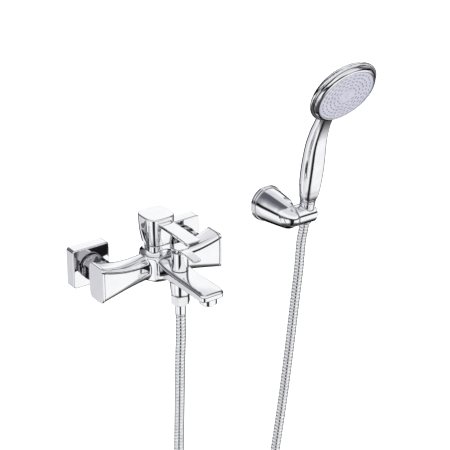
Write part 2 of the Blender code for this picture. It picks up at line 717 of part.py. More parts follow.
def make_hose(cup):
    """Hose, parted on a round face about the tilting axis, so that its last stretch tilts with the cup."""
    route = smooth_curve(hose_route(), 2.2 * 2 * HOSE_RADIUS)
    hanging = baked(tube(route, HOSE_RADIUS))
    cut(hanging, cylinder(HOSE_SPLIT + GAP, -0.020, 0.020, "X", (0.0, 0.0), 96), cup)
    part(hanging, "shower_hose", HOSE_STEEL)

    place = Matrix.Translation(cup.location) @ Matrix.Rotation(LEAN, 4, "X")
    upper = baked(tube([place.inverted() @ Vector(point) for point in route], HOSE_RADIUS))
    boolean(upper, helper(cylinder(HOSE_SPLIT, -0.020, 0.020, "X", (0.0, 0.0), 96), cup), "INTERSECT")
    part(upper, "shower_hose_top", HOSE_STEEL, cup)


# ---------------------------------------------------------------- wall holder
def make_bracket():
    centre = (HOLDER_X, HOLDER_Z)
    axis = (SWIVEL_Y, HOLDER_Z)
    base_profile = [
        (BASE_RADIUS - 0.0006, 0.0), (BASE_RADIUS, -0.0006), (BASE_RADIUS, -0.0040),
        (BASE_RADIUS - 0.0010, -0.0044), (BASE_RADIUS - 0.0010, -BASE_DEPTH + 0.0006),
        (BASE_RADIUS - 0.0016, -BASE_DEPTH), (0.0, -BASE_DEPTH)]
    base = aligned(turned([(0.0, 0.0)] + base_profile, False, 28), "Y", centre)
    screw_offset = 0.0140
    for sign in (-1, 1):
        at = (HOLDER_X, HOLDER_Z + sign * screw_offset)
        cut(base, cylinder(0.0026, -BASE_DEPTH - 0.002, 0.002, "Y", at, 12))
    part(base, "bracket_base", CHROMED_PLASTIC)

    for sign, name in ((1, "bracket_screw_upper"), (-1, "bracket_screw_lower")):
        at = (HOLDER_X, HOLDER_Z + sign * screw_offset)
        profile = [
            (0.0, 0.0160), (0.0010, 0.0150), (0.0022, 0.0115), (0.0022, -BASE_DEPTH - GAP),
            (0.0042, -BASE_DEPTH - GAP), (0.0036, -BASE_DEPTH - 0.0028), (0.0, -BASE_DEPTH - 0.0030)]
        part(aligned(turned(profile, False, 12), "Y", at), name, STEEL)

    arm_back = -BASE_DEPTH - GAP
    arm_profile = [
        (0.0, arm_back), (0.0244, arm_back), (0.0250, arm_back - 0.0008), (0.0248, -0.0150),
        (0.0228, -0.0320), (0.0204, -0.0500), (0.0188, -0.0600), (0.0164, -0.0680),
        (0.0120, -0.0742), (0.0062, -0.0776), (0.0, -0.0788)]
    arm = aligned(turned(arm_profile, False, 28), "Y", centre)
    cut(arm, box((ARM_FACE_X, -0.100, -0.040), (ARM_FACE_X + 0.040, NOTCH_BACK, 0.060)))
    hollow = [(0.0, 0.0), (0.0216, 0.0), (0.0216, -0.0140), (0.0185, -0.0370), (0.0, -0.0370)]
    cut(arm, aligned(turned(hollow, False, 16), "Y", centre))
    cut(arm, cylinder(0.0033, SCREW_TIP_X - 0.0006, ARM_FACE_X + 0.002, "X", axis, 16))
    cut(arm, cylinder(0.0022, -0.04, -0.0145, "Z", (HOLDER_X, -0.0120), 10))
    part(arm, "bracket_arm", CHROMED_PLASTIC)
    grub = cylinder(0.0019, HOLDER_Z - 0.0243, HOLDER_Z - 0.0205, "Z", (HOLDER_X, -0.0120), 10)
    part(grub, "bracket_grub_screw", STEEL)
    washer = ring(0.0120, 0.0036, ARM_FACE_X + GAP, CUP_LEFT_X - GAP)
    part(aligned(washer, "X", axis), "swivel_washer", NYLON)
    screw_profile = [
        (0.0, SCREW_HEAD_X + 0.0034), (0.0046, SCREW_HEAD_X + 0.0034), (0.0052, SCREW_HEAD_X + 0.0026),
        (0.0052, SCREW_HEAD_X), (0.0030, SCREW_HEAD_X), (0.0030, SCREW_TIP_X), (0.0, SCREW_TIP_X)]
    part(aligned(turned(screw_profile, False, 16), "X", axis), "swivel_screw", STEEL)


def make_cup(cup):
    """Swivelling cup, in coordinates whose origin is on the tilting axis at the socket."""
    left = CUP_LEFT_X - SOCKET_X
    right = CUP_RIGHT_X - SOCKET_X
    body = cylinder(CUP_RADIUS, left, right, "X", (0.0, 0.0), 24)
    rounding = body.modifiers.new("bevel", "BEVEL")
    rounding.width = 0.0022
    rounding.segments = 2
    reach = 0.017
    slope = (CONE_TOP_RADIUS - CONE_BOTTOM_RADIUS) / (CONE_TOP - CONE_BOTTOM)
    low = CONE_BOTTOM_RADIUS + slope * (-reach - CONE_BOTTOM) + 0.0005
    high = CONE_BOTTOM_RADIUS + slope * (reach - CONE_BOTTOM) + 0.0005
    cut(body, cylinder(low, -reach, reach, segments=20, top_radius=high), cup)
    cut(body, box((0.0, -SLOT_HALF, -reach), (0.020, SLOT_HALF, reach)), cup)
    cut(body, cylinder(0.0034, left - 0.002, left + 0.0066, "X", (0.0, 0.0), 16), cup)
    cut(body, cylinder(0.0056, SCREW_HEAD_X - GAP - SOCKET_X, 0.0, "X", (0.0, 0.0), 16), cup)
    part(body, "holder_cup", CHROMED_PLASTIC, cup)


# ---------------------------------------------------------------- hand shower
def handle_centre(height):
    """Forward offset of the handle's middle line."""
    if height < NECK_BEND:
        return 0.0
    return 0.0082 * ((height - NECK_BEND) / 0.052) ** 2


def grip_section(height, inset=0.0, count=20):
    """Oval grip with a flat front facet, bent forward with the middle line."""
    heights = (0.0243, 0.030, 0.040, 0.060, 0.075, 0.095, 0.115, 0.135, 0.157, 0.175, 0.192)
    widths = (0.0118, 0.0140, 0.0154, 0.0166, 0.0168, 0.0163, 0.0151, 0.0134, 0.0120, 0.0122, 0.0130)
    depths = (0.0112, 0.0132, 0.0146, 0.0158, 0.0161, 0.0155, 0.0143, 0.0127, 0.0108, 0.0100, 0.0092)
    half_x = float(np.interp(height, heights, widths)) - inset
    half_f = float(np.interp(height, heights, depths)) - inset
    bend = math.atan2(handle_centre(height + 0.002) - handle_centre(height - 0.002), 0.004)
    points = []
    for i in range(count):
        angle = 2 * math.pi * (i + 0.5) / count
        across = half_x * math.cos(angle)
        forward = min(half_f * math.sin(angle), 0.86 * half_f)
        y = -(handle_centre(height) + forward * math.cos(bend))
        z = height - forward * math.sin(bend)
        points.append((across, y, z))
    return points


def head_matrix():
    """Head coordinates: Z points out of the spray face, origin at the centre of its front plane."""
    place = Matrix.Translation((0.0, -FACE_FORWARD, FACE_HEIGHT))
    return place @ Matrix.Rotation(math.pi / 2 + FACE_TILT, 4, "X")


def head_turned(profile, closed=False, segments=32):
    solid = baked(turned(profile, closed, segments))
    solid.data.transform(head_matrix())
    return solid


def make_hand_shower(cone, slide):
    cone_profile = [
        (CONE_TOP_RADIUS - 0.0006, CONE_TOP), (CONE_TOP_RADIUS, CONE_TOP - 0.0006),
        (CONE_BOTTOM_RADIUS, CONE_BOTTOM + 0.0006), (CONE_BOTTOM_RADIUS - 0.0006, CONE_BOTTOM),
        (0.0077, CONE_BOTTOM), (0.0077, 0.0070), (0.0102, 0.0070), (0.0102, CONE_TOP)]
    part(baked(turned(cone_profile, True, 20)), "cone_nut", CHROMED_PLASTIC, cone)
    insert = [(0.0098, 0.0093), (0.0098, 0.0073), (0.0064, 0.0073), (0.0064, HOSE_END + GAP)]
    insert += [(0.0040, HOSE_END + GAP), (0.0040, 0.0093)]
    part(baked(turned(insert, True, 20)), "hose_insert", BRASS, slide)
    part(baked(ring(0.0098, 0.0060, 0.0096, 0.0111, 20)), "handset_washer", RUBBER, cone)

    heights = (HANDLE_FOOT, 0.0262, 0.030, 0.040, 0.060, 0.075, 0.095, 0.115, 0.135, 0.157, 0.175, 0.192)
    shell = loft([grip_section(h) for h in heights])
    back = [
        (0.0, -0.0262), (0.0230, -0.0246), (0.0380, -0.0205), (0.0483, -0.0148), (0.0527, -0.0104),
        (RIM_RADIUS, -0.0080), (0.0524, -0.0064), (0.0, -0.0064)]
    back_solid = head_turned(list(reversed(back)))
    add(shell, back_solid, cone)
    add(shell, cylinder(0.0098, 0.0114, HANDLE_FOOT + 0.004, segments=24), cone)
    hollow = [
        (0.0, -0.0238), (0.0222, -0.0224), (0.0366, -0.0184), (0.0452, -0.0134), (0.0488, -0.0098),
        (0.0488, -0.0050), (0.0, -0.0050)]
    cut(shell, head_turned(list(reversed(hollow)), segments=24), cone)
    inner = (0.034, 0.045, 0.075, 0.115, 0.157, 0.183)
    cut(shell, loft([grip_section(h, 0.0028, 12) for h in inner]), cone)
    cut(shell, cylinder(0.0064, 0.010, 0.040, segments=16), cone)
    part(shell, "handset_body", CHROMED_PLASTIC, cone)

    face_ring = [
        (0.0470, 0.0), (0.0488, -0.0006), (RING_RADIUS, -0.0022), (0.0492, -0.0061), (0.0482, -0.0061),
        (0.0482, -0.0085), (0.0466, -0.0085), (0.0466, -0.0008)]
    part(head_turned(face_ring, True, 32), "face_ring", CHROMED_PLASTIC, cone)
    plate = [(0.0026, 0.0006), (0.0300, 0.0), (0.0462, -0.0014), (0.0462, -0.0034), (0.0026, -0.0034)]
    part(head_turned(plate, True, 24), "spray_plate", FACE_PLASTIC, cone)
    part(head_turned([(0.0455, -0.0037), (0.0455, -0.0052), (0.0026, -0.0052), (0.0026, -0.0037)], True, 24),
         "nozzle_mat", SILICONE, cone)
    part(head_turned([(0.0450, -0.0055), (0.0450, -0.0078), (0.0026, -0.0078), (0.0026, -0.0055)], True, 24),
         "flow_plate", NYLON, cone)
    screw = [(0.0, 0.0004), (0.0022, 0.0004), (0.0022, -0.0110), (0.0, -0.0120)]
    part(head_turned(screw, False, 12), "face_screw", STEEL, cone)


# ---------------------------------------------------------------- assembly
def build():
    make_mixer_body()
    for side, word in ((-1, "left"), (1, "right")):
        make_end_cap(side, "end_cap_" + word)
        make_wall_plate(side, "wall_plate_" + word)
        make_inlet_union(side, "inlet_union_" + word)
        make_union_nut(side, "union_nut_" + word)
        make_inlet_washer(side, "inlet_washer_" + word)
    make_aerator()

    swivel = empty("handle_swivel_axis", (0.0, BODY_Y, 0.0))
    tilt = empty("handle_tilt_axis", (0.0, 0.0, PIVOT_Z), parent=swivel)
    make_cartridge(swivel, tilt)
    make_collar(swivel)
    make_handle(tilt)

    turning = empty("diverter_axis", (0.0, DIVERTER_Y, 0.0))
    make_diverter(turning)
    make_outlet()

    make_bracket()
    cup = empty("cup_axis", (SOCKET_X, SWIVEL_Y, HOLDER_Z), (LEAN, 0.0, 0.0))
    make_cup(cup)
    make_hose(cup)
    slide = empty("hose_end_axis", (0.0, 0.0, 0.0), parent=cup)
    cone = empty("hand_shower_axis", (0.0, 0.0, 0.0), parent=slide)
    make_hand_shower(cone, slide)


build()
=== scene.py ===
"""Looks of a wall mounted bath mixer, its hose and its hand shower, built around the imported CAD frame."""

import json
import math

import bmesh
import bpy
import numpy as np
from mathutils import Matrix, Vector


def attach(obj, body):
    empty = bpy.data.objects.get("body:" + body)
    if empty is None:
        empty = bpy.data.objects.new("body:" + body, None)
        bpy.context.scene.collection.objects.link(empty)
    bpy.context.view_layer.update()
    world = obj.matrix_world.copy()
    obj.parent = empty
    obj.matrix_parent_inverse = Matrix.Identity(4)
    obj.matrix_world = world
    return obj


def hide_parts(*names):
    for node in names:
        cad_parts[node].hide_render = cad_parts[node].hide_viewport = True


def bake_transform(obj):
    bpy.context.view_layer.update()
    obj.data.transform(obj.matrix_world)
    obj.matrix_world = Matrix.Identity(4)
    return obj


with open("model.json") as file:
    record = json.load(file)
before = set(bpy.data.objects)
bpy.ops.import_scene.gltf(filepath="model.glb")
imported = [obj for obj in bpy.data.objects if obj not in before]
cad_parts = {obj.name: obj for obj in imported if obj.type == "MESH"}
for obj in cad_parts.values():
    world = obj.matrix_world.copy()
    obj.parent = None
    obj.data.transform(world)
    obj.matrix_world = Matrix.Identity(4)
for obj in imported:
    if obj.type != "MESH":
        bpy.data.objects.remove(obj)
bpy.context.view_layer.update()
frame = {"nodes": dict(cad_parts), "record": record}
NODES = frame["nodes"]
SIDES = ((-1, "left"), (1, "right"))

# ---------------------------------------------------------------- places that follow the CAD, in metres
INLET_X = 0.075
BODY_Y = -0.0675
BODY_HALF = 0.0935
DIVERTER_Y = -0.125
SPOUT_TIP_Y = -0.206
AERATOR_Y = -0.1915
PIVOT_Z = 0.0330
SEAM_Z = 0.0360
HANDLE_TOP = 0.0787
HOLDER_X, HOLDER_Z = 0.2353, 0.0061
SOCKET_X, SWIVEL_Y = 0.2620, -0.0625
LEAN = math.radians(9.5)
FACE_TILT = math.radians(17.7)
FERRULE_BOTTOM = -0.0520
HOSE_END = 0.0050
HOSE_RADIUS = 0.0070
GAP = 0.0003

CAMERA_PLACE = Vector((-1.1141, -1.8105, 1.0447))
CAMERA_AIM = Vector((0.1620, 0.0, -0.0108))
SENSOR_MM, LENS_MM = 36.0, 134.81
FARTHEST_SEEN = 200.0
FLOOR_Z, FLOOR_HALF = -0.72, 60.0

CUP_PLACE = Matrix.Translation((SOCKET_X, SWIVEL_Y, HOLDER_Z)) @ Matrix.Rotation(LEAN, 4, "X")
HEAD_PLACE = CUP_PLACE @ Matrix.Translation((0.0, -0.0485, 0.2191)) @ Matrix.Rotation(
    math.pi / 2 + FACE_TILT, 4, "X")


# ---------------------------------------------------------------- camera
def make_camera():
    data = bpy.data.cameras.new("camera")
    data.sensor_width = SENSOR_MM
    data.lens = LENS_MM
    data.clip_end = FARTHEST_SEEN
    camera = bpy.data.objects.new("camera", data)
    camera.location = CAMERA_PLACE
    camera.rotation_euler = (CAMERA_AIM - CAMERA_PLACE).to_track_quat("-Z", "Y").to_euler()
    bpy.context.scene.collection.objects.link(camera)
    bpy.context.scene.camera = camera


make_camera()


# ---------------------------------------------------------------- node helpers
def shader_of(material):
    return material.node_tree.nodes["Principled BSDF"]


def new_material(name, color, metallic, roughness):
    material = bpy.data.materials.new(name)
    material.use_nodes = True
    shader = shader_of(material)
    shader.inputs["Base Color"].default_value = (*color, 1.0)
    shader.inputs["Metallic"].default_value = metallic
    shader.inputs["Roughness"].default_value = roughness
    material.diffuse_color = (*color, 1.0)
    return material


def noise(material, scale, detail=3.0):
    """Noise in the object's own coordinates, whose unit is a metre."""
    nodes, links = material.node_tree.nodes, material.node_tree.links
    where = nodes.new("ShaderNodeTexCoord")
    made = nodes.new("ShaderNodeTexNoise")
    made.inputs["Scale"].default_value = scale
    made.inputs["Detail"].default_value = detail
    links.new(where.outputs["Object"], made.inputs["Vector"])
    return made.outputs[0]


def colours(material, value, low, high):
    """Base colour from low to high over the middle of the noise's range."""
    nodes, links = material.node_tree.nodes, material.node_tree.links
    ramp = nodes.new("ShaderNodeValToRGB")
    for element, position, color in zip(ramp.color_ramp.elements, (0.3, 0.7), (low, high)):
        element.position = position
        element.color = (*color, 1.0)
    links.new(value, ramp.inputs["Fac"])
    links.new(ramp.outputs["Color"], shader_of(material).inputs["Base Color"])


def rough_range(material, value, low, high):
    nodes, links = material.node_tree.nodes, material.node_tree.links
    span = nodes.new("ShaderNodeMapRange")
    span.inputs["From Min"].default_value = 0.25
    span.inputs["From Max"].default_value = 0.75
    span.inputs["To Min"].default_value = low
    span.inputs["To Max"].default_value = high
    links.new(value, span.inputs["Value"])
    links.new(span.outputs["Result"], shader_of(material).inputs["Roughness"])


def bumped(material, value, height):
    nodes, links = material.node_tree.nodes, material.node_tree.links
    bump = nodes.new("ShaderNodeBump")
    bump.inputs["Distance"].default_value = height
    links.new(value, bump.inputs["Height"])
    links.new(bump.outputs["Normal"], shader_of(material).inputs["Normal"])


def surface(name, low, high, metallic, rough, grain, cloud, height=0.0):
    """Colour drifts slowly, roughness varies with a fine grain, which can also make a faint relief."""
    material = new_material(name, high, metallic, rough[0])
    colours(material, noise(material, cloud), low, high)
    fine = noise(material, grain, 4.0)
    rough_range(material, fine, *rough)
    if height:
        bumped(material, fine, height)
    return material


CHROME = surface(
    "chrome_plate", (0.86, 0.865, 0.885), (0.91, 0.91, 0.92), 1.0, (0.025, 0.05), 700.0, 45.0)
PLASTIC_CHROME = surface(
    "chromed_plastic_skin", (0.84, 0.845, 0.87), (0.90, 0.90, 0.915), 1.0, (0.03, 0.065), 500.0, 55.0)
# Painted reflection: the union nuts' chrome gets a much darker base colour to stand for the dark arm it
# reflects; the metal itself is no darker than the other chrome.
CHROME_PAINTED_DARK_REFLECTION = surface(
    "chrome_with_painted_dark_reflection", (0.40, 0.39, 0.42), (0.48, 0.47, 0.50), 1.0, (0.05, 0.10), 700.0, 60.0)
SATIN_CHROME = surface(
    "satin_chrome", (0.80, 0.805, 0.82), (0.87, 0.87, 0.88), 1.0, (0.16, 0.24), 900.0, 80.0)
HOSE_STEEL = surface(
    "hose_strip_steel", (0.78, 0.785, 0.80), (0.88, 0.885, 0.90), 1.0, (0.04, 0.08), 2500.0, 160.0)
BRASS = surface(
    "turned_brass", (0.70, 0.52, 0.24), (0.82, 0.64, 0.33), 1.0, (0.18, 0.32), 1500.0, 120.0, 0.00002)
STEEL = surface(
    "plain_steel", (0.60, 0.60, 0.61), (0.70, 0.70, 0.71), 1.0, (0.22, 0.36), 1800.0, 150.0, 0.00002)
RUBBER = surface(
    "black_rubber", (0.018, 0.018, 0.019), (0.035, 0.035, 0.037), 0.0, (0.55, 0.75), 2200.0, 180.0, 0.00004)
CERAMIC = surface(
    "lapped_ceramic", (0.86, 0.85, 0.81), (0.91, 0.90, 0.87), 0.0, (0.14, 0.24), 1200.0, 200.0)
NYLON = surface(
    "natural_nylon", (0.74, 0.74, 0.71), (0.82, 0.82, 0.80), 0.0, (0.38, 0.55), 1400.0, 140.0, 0.00003)
FACE = surface(
    "spray_face_plastic", (0.52, 0.52, 0.60), (0.60, 0.60, 0.68), 0.0, (0.28, 0.40), 2600.0, 70.0, 0.00002)
NOZZLE = surface(
    "nozzle_silicone", (0.20, 0.21, 0.27), (0.28, 0.29, 0.36), 0.0, (0.45, 0.62), 2400.0, 260.0, 0.00003)

CAD_FINISH = {
    "chrome": CHROME, "chromed_plastic": PLASTIC_CHROME, "brass": BRASS, "steel": STEEL, "rubber": RUBBER,
    "ceramic": CERAMIC, "nylon": NYLON, "face_plastic": FACE, "silicone": NOZZLE, "hose_steel": HOSE_STEEL}
OWN_FINISH = {"inlet_union_left": CHROME, "inlet_union_right": CHROME, "face_screw": FACE}
for row in frame["record"]["subparts"]:
    mesh = NODES[row["node"]].data
    mesh.materials.clear()
    mesh.materials.append(OWN_FINISH.get(row["node"], CAD_FINISH[row["material_slot"]]))


# ---------------------------------------------------------------- finishing a piece
def finished(obj, body, material, slot, *stands_for):
    """Paint a piece, hang it on its CAD body and let it stand for CAD nodes."""
    obj.data.materials.clear()
    obj.data.materials.append(material)
    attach(obj, body)
    if stands_for:
        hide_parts(*stands_for)
    return obj


def linked(name, mesh, place=None):
    obj = bpy.data.objects.new(name, mesh)
    bpy.context.scene.collection.objects.link(obj)
    if place is not None:
        mesh.transform(place)
    return obj


# ---------------------------------------------------------------- hose
def holder_point(forward, height, side=0.0):
    """World point from hand shower coordinates: forward of, along and beside its axis."""
    y = SWIVEL_Y - forward * math.cos(LEAN) - height * math.sin(LEAN)
    z = HOLDER_Z - forward * math.sin(LEAN) + height * math.cos(LEAN)
    return Vector((SOCKET_X + side, y, z))


def hose_route():
    """Listed points of the hanging loop, from the mixer outlet to the hand shower."""
    start = Vector((0.0, DIVERTER_Y, FERRULE_BOTTOM - GAP))
    return [
        start,
        start + Vector((0.0, 0.0, -0.030)),
        Vector((-0.0010, -0.1245, -0.115)),
        Vector((-0.0018, -0.1225, -0.190)),
        Vector((-0.0024, -0.1200, -0.273)),
        Vector((-0.0010, -0.1170, -0.360)),
        Vector((0.0060, -0.1130, -0.445)),
        Vector((0.0240, -0.1080, -0.522)),
        Vector((0.0565, -0.1025, -0.580)),
        Vector((0.0980, -0.0965, -0.601)),
        Vector((0.1385, -0.0905, -0.582)),
        Vector((0.1700, -0.0840, -0.528)),
        Vector((0.1900, -0.0775, -0.455)),
        Vector((0.2060, -0.0710, -0.3766)),
        Vector((0.2225, -0.0660, -0.295)),
        Vector((0.2370, -0.0610, -0.215)),
        Vector((0.2490, -0.0575, -0.135)),
        Vector((0.2560, -0.0558, -0.0876)),
        holder_point(0.0, -0.048, -0.0012),
        holder_point(0.0, -0.028, -0.0001),
        holder_point(0.0, -0.012),
        holder_point(0.0, HOSE_END),
    ]


def smooth_curve(points, spacing):
    """Points at an even spacing along a centripetal Catmull-Rom curve through the given points."""
    padded = [2 * points[0] - points[1]] + points + [2 * points[-1] - points[-2]]
    dense = []
    for p0, p1, p2, p3 in zip(padded, padded[1:], padded[2:], padded[3:]):
        t1 = (p1 - p0).length ** 0.5
        t2 = t1 + (p2 - p1).length ** 0.5
        t3 = t2 + (p3 - p2).length ** 0.5
        for step in range(24):
            t = t1 + (t2 - t1) * step / 24
            a1 = p0.lerp(p1, t / t1)
            a2 = p1.lerp(p2, (t - t1) / (t2 - t1))
            a3 = p2.lerp(p3, (t - t2) / (t3 - t2))
            b1 = a1.lerp(a2, t / t2)
            b2 = a2.lerp(a3, (t - t1) / (t3 - t1))
            dense.append(b1.lerp(b2, (t - t1) / (t2 - t1)))
    dense.append(points[-1].copy())
    lengths = [0.0]
    for a, b in zip(dense, dense[1:]):
        lengths.append(lengths[-1] + (b - a).length)
    count = round(lengths[-1] / spacing)
    targets = np.linspace(0.0, lengths[-1], count + 1)
    return np.stack([np.interp(targets, lengths, [p[axis] for p in dense]) for axis in range(3)], 1)


def eased_line(line, rounds):
    """Rub the small corners out of a fine polyline, with its ends held."""
    line = line.copy()
    for _ in range(rounds):
        line[1:-1] = 0.25 * line[:-2] + 0.5 * line[1:-1] + 0.25 * line[2:]
    return line


def mesh_from_grid(name, points, closed_ends=True):
    """Smooth mesh of a tube from an array (rings, points round, 3), its ends fanned shut where asked."""
    rings, count, _ = points.shape
    base = np.arange(rings - 1)[:, None] * count + np.arange(count)[None, :]
    after = np.arange(rings - 1)[:, None] * count + (np.arange(count)[None, :] + 1) % count
    faces = np.stack([base, after, after + count, base + count], 2).reshape(-1, 4).tolist()
    vertices = points.reshape(-1, 3).tolist()
    if closed_ends:
        vertices += [points[0].mean(0).tolist(), points[-1].mean(0).tolist()]
        first, last = rings * count, rings * count + 1
        top = (rings - 1) * count
        faces += [[first, (i + 1) % count, i] for i in range(count)]
        faces += [[last, top + i, top + (i + 1) % count] for i in range(count)]
    mesh = bpy.data.meshes.new(name)
    mesh.from_pydata(vertices, [], faces)
    builder = bmesh.new()
    builder.from_mesh(mesh)
    bmesh.ops.recalc_face_normals(builder, faces=builder.faces)
    builder.to_mesh(mesh)
    builder.free()
    mesh.shade_smooth()
    return mesh


def sides_along(line):
    """Two directions across a line at each of its points, carried along it without twist."""
    tangents = np.gradient(line, axis=0)
    tangents /= np.linalg.norm(tangents, axis=1)[:, None]
    across = np.cross(tangents[0], (0.0, 1.0, 0.0))
    first = []
    for tangent in tangents:
        across = across - tangent * across.dot(tangent)
        across /= np.linalg.norm(across)
        first.append(across)
    first = np.array(first)
    return first, np.cross(tangents, first)


STRIP_PITCH = 0.0053        # one turn of the interlocked strip
STRIP_STEPS = 12            # rings in one turn
GROOVE_DEPTH = 0.00080
GROOVE_SHARE = 0.10         # of a turn
STRIP_CROWN = 0.00012
HOSE_SIDES = 30
HOSE_EASING = 40            # rounds of smoothing of the route


def make_hose():
    """Tube along the route, with the helical groove of its wound strip, and the line it follows."""
    line = eased_line(smooth_curve(hose_route(), STRIP_PITCH / STRIP_STEPS), HOSE_EASING)
    first, second = sides_along(line)
    angles = np.arange(HOSE_SIDES) * 2 * math.pi / HOSE_SIDES
    turn = (np.arange(len(line))[:, None] / STRIP_STEPS - angles[None, :] / (2 * math.pi)) % 1.0
    away = np.minimum(turn, 1.0 - turn)
    groove = GROOVE_DEPTH * np.exp(-(away / GROOVE_SHARE) ** 2)
    radius = HOSE_RADIUS - groove - STRIP_CROWN * (2.0 * away - 1.0) ** 2
    directions = (first[:, None, :] * np.cos(angles)[None, :, None]
                  + second[:, None, :] * np.sin(angles)[None, :, None])
    mesh = mesh_from_grid("shower_hose_strip", line[:, None, :] + directions * radius[:, :, None])
    hose = linked("shower_hose_strip", mesh)
    hose.data.materials.append(HOSE_STEEL)
    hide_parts("shower_hose", "shower_hose_top")
    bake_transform(hose)
    return hose, line


HOSE, HOSE_LINE = make_hose()


# ---------------------------------------------------------------- shapes from a field
def smooth_min(a, b, k):
    """The smaller of two distances, blended over k where they are close: a fillet."""
    h = np.clip(0.5 + 0.5 * (b - a) / k, 0.0, 1.0)
    return b * (1.0 - h) + a * h - k * h * (1.0 - h)


def smooth_max(a, b, k):
    return -smooth_min(-a, -b, k)


def eased(x, stations, values):
    """Smooth curve through values at stations, level beyond both ends."""
    stations, values = np.asarray(stations, float), np.asarray(values, float)
    slopes = np.gradient(values, stations)
    x = np.clip(x, stations[0], stations[-1])
    i = np.clip(np.searchsorted(stations, x, side="right") - 1, 0, len(stations) - 2)
    width = stations[i + 1] - stations[i]
    t = (x - stations[i]) / width
    start = (1 + 2 * t) * (1 - t) ** 2 * values[i] + t * (1 - t) ** 2 * width * slopes[i]
    finish = t * t * (3 - 2 * t) * values[i + 1] + t * t * (t - 1) * width * slopes[i + 1]
    return start + finish


def superellipse_distance(u, v, a, b, power):
    """About the distance from a rounded rectangle of half sides a and b."""
    s, t = np.abs(u) / a + 1e-9, np.abs(v) / b + 1e-9
    norm = (s ** power + t ** power) ** (1.0 / power)
    slope = norm ** (1.0 - power) * np.sqrt((s ** (power - 1) / a) ** 2 + (t ** (power - 1) / b) ** 2)
    return (norm - 1.0) / slope


def rounded(a, b, radius):
    """Where two walls meet: the larger distance, with an outer corner of that radius."""
    outside = np.hypot(np.maximum(a + radius, 0.0), np.maximum(b + radius, 0.0))
    return outside + np.minimum(np.maximum(a + radius, b + radius), 0.0) - radius


def slab(z, low, high):
    """Distance from the layer between two levels."""
    return np.abs(z - 0.5 * (low + high)) - 0.5 * (high - low)


def crossed_edges(values, axis):
    """Which grid edges along an axis the surface crosses, which start inside, and where they are cut."""
    first, second = [slice(None)] * 3, [slice(None)] * 3
    first[axis], second[axis] = slice(0, -1), slice(1, None)
    v0, v1 = values[tuple(first)], values[tuple(second)]
    crossed = (v0 < 0) != (v1 < 0)
    return crossed, v0 < 0, np.where(crossed, v0 / np.where(crossed, v0 - v1, 1.0), 0.0)


def quads_across(shape, index, axis, u, w, crossed, inside):
    """One quad around each crossed edge that isn't on the rim of the grid."""
    spots = np.argwhere(crossed)
    keep = (spots[:, u] > 0) & (spots[:, w] > 0)
    keep &= (spots[:, u] < shape[u] - 1) & (spots[:, w] < shape[w] - 1)
    spots = spots[keep]
    corners = []
    for du, dw in ((1, 1), (0, 1), (0, 0), (1, 0)):
        at = spots.copy()
        at[:, u] -= du
        at[:, w] -= dw
        corners.append(index[tuple(at.T)])
    quad = np.stack(corners, 1)
    flip = inside[tuple(spots.T)] == (axis == 1)
    quad[flip] = quad[flip][:, ::-1]
    return quad


def surface_net(values):
    """Points in grid steps, one in each cell that the surface passes, and the quads between them."""
    cells = tuple(n - 1 for n in values.shape)
    total, count, crossings = np.zeros((*cells, 3)), np.zeros(cells), []
    for axis in range(3):
        crossed, inside, t = crossed_edges(values, axis)
        u, w = [a for a in range(3) if a != axis]
        for du, dw in ((0, 0), (0, 1), (1, 0), (1, 1)):
            window = [slice(None)] * 3
            window[u] = slice(du, cells[u] + du)
            window[w] = slice(dw, cells[w] + dw)
            hit = crossed[tuple(window)]
            count += hit
            total[..., axis] += t[tuple(window)]
            total[..., u] += du * hit
            total[..., w] += dw * hit
        crossings.append((axis, u, w, crossed, inside))
    used = count > 0
    index = -np.ones(cells, int)
    index[used] = np.arange(used.sum())
    points = np.argwhere(used) + total[used] / count[used][:, None]
    quads = [quads_across(values.shape, index, *crossing) for crossing in crossings]
    return points, np.concatenate(quads)


SLOPE_STEP = 0.02           # of a cell, for the slope of a field
LONGEST_MOVE = 0.6          # of a cell, in one step toward the surface
LEAST_SLOPE = 0.05          # squared, so that a flat spot doesn't throw a point away


def slope_of(field, points, step):
    columns = []
    for axis in range(3):
        shift = np.zeros(3)
        shift[axis] = step
        columns.append((field(*(points + shift).T) - field(*(points - shift).T)) / (2 * step))
    return np.stack(columns, 1)


def drawn(field, points, cell, rounds):
    """Brings points onto the surface in short Newton steps."""
    for _ in range(rounds):
        slope = slope_of(field, points, SLOPE_STEP * cell)
        steepness = np.maximum((slope ** 2).sum(1), LEAST_SLOPE)[:, None]
        move = field(*points.T)[:, None] * slope / steepness
        length = np.linalg.norm(move, axis=1)[:, None]
        points = points - move * np.minimum(1.0, LONGEST_MOVE * cell / np.maximum(length, 1e-12))
    return points


def neighbour_mean(points, quads):
    """For each point, the mean of the points that share an edge with it."""
    ends = np.concatenate([quads[:, [0, 1]], quads[:, [1, 2]], quads[:, [2, 3]], quads[:, [3, 0]]])
    mean, degree = np.zeros_like(points), np.zeros(len(points))
    for a, b in ((0, 1), (1, 0)):
        for axis in range(3):
            mean[:, axis] += np.bincount(ends[:, a], points[ends[:, b], axis], len(points))
        degree += np.bincount(ends[:, a], minlength=len(points))
    return mean / degree[:, None]


def skin(name, field, low, high, cell, place=None, polish=2):
    """Mesh of the surface where a field changes sign, with its points drawn onto that surface."""
    grid = [np.arange(a - 2 * cell, b + 3 * cell, cell) for a, b in zip(low, high)]
    points, quads = surface_net(field(*np.meshgrid(*grid, indexing="ij")))
    points = drawn(field, points * cell + [line[0] for line in grid], cell, 3)
    for _ in range(polish):
        points = drawn(field, 0.5 * points + 0.5 * neighbour_mean(points, quads), cell, 2)
    normals = slope_of(field, points, SLOPE_STEP * cell)
    normals /= np.linalg.norm(normals, axis=1)[:, None] + 1e-12
    mesh = bpy.data.meshes.new(name)
    mesh.from_pydata(points.tolist(), [], quads.tolist())
    mesh.shade_smooth()
    mesh.normals_split_custom_set_from_vertices(normals.tolist())
    return linked(name, mesh, place)


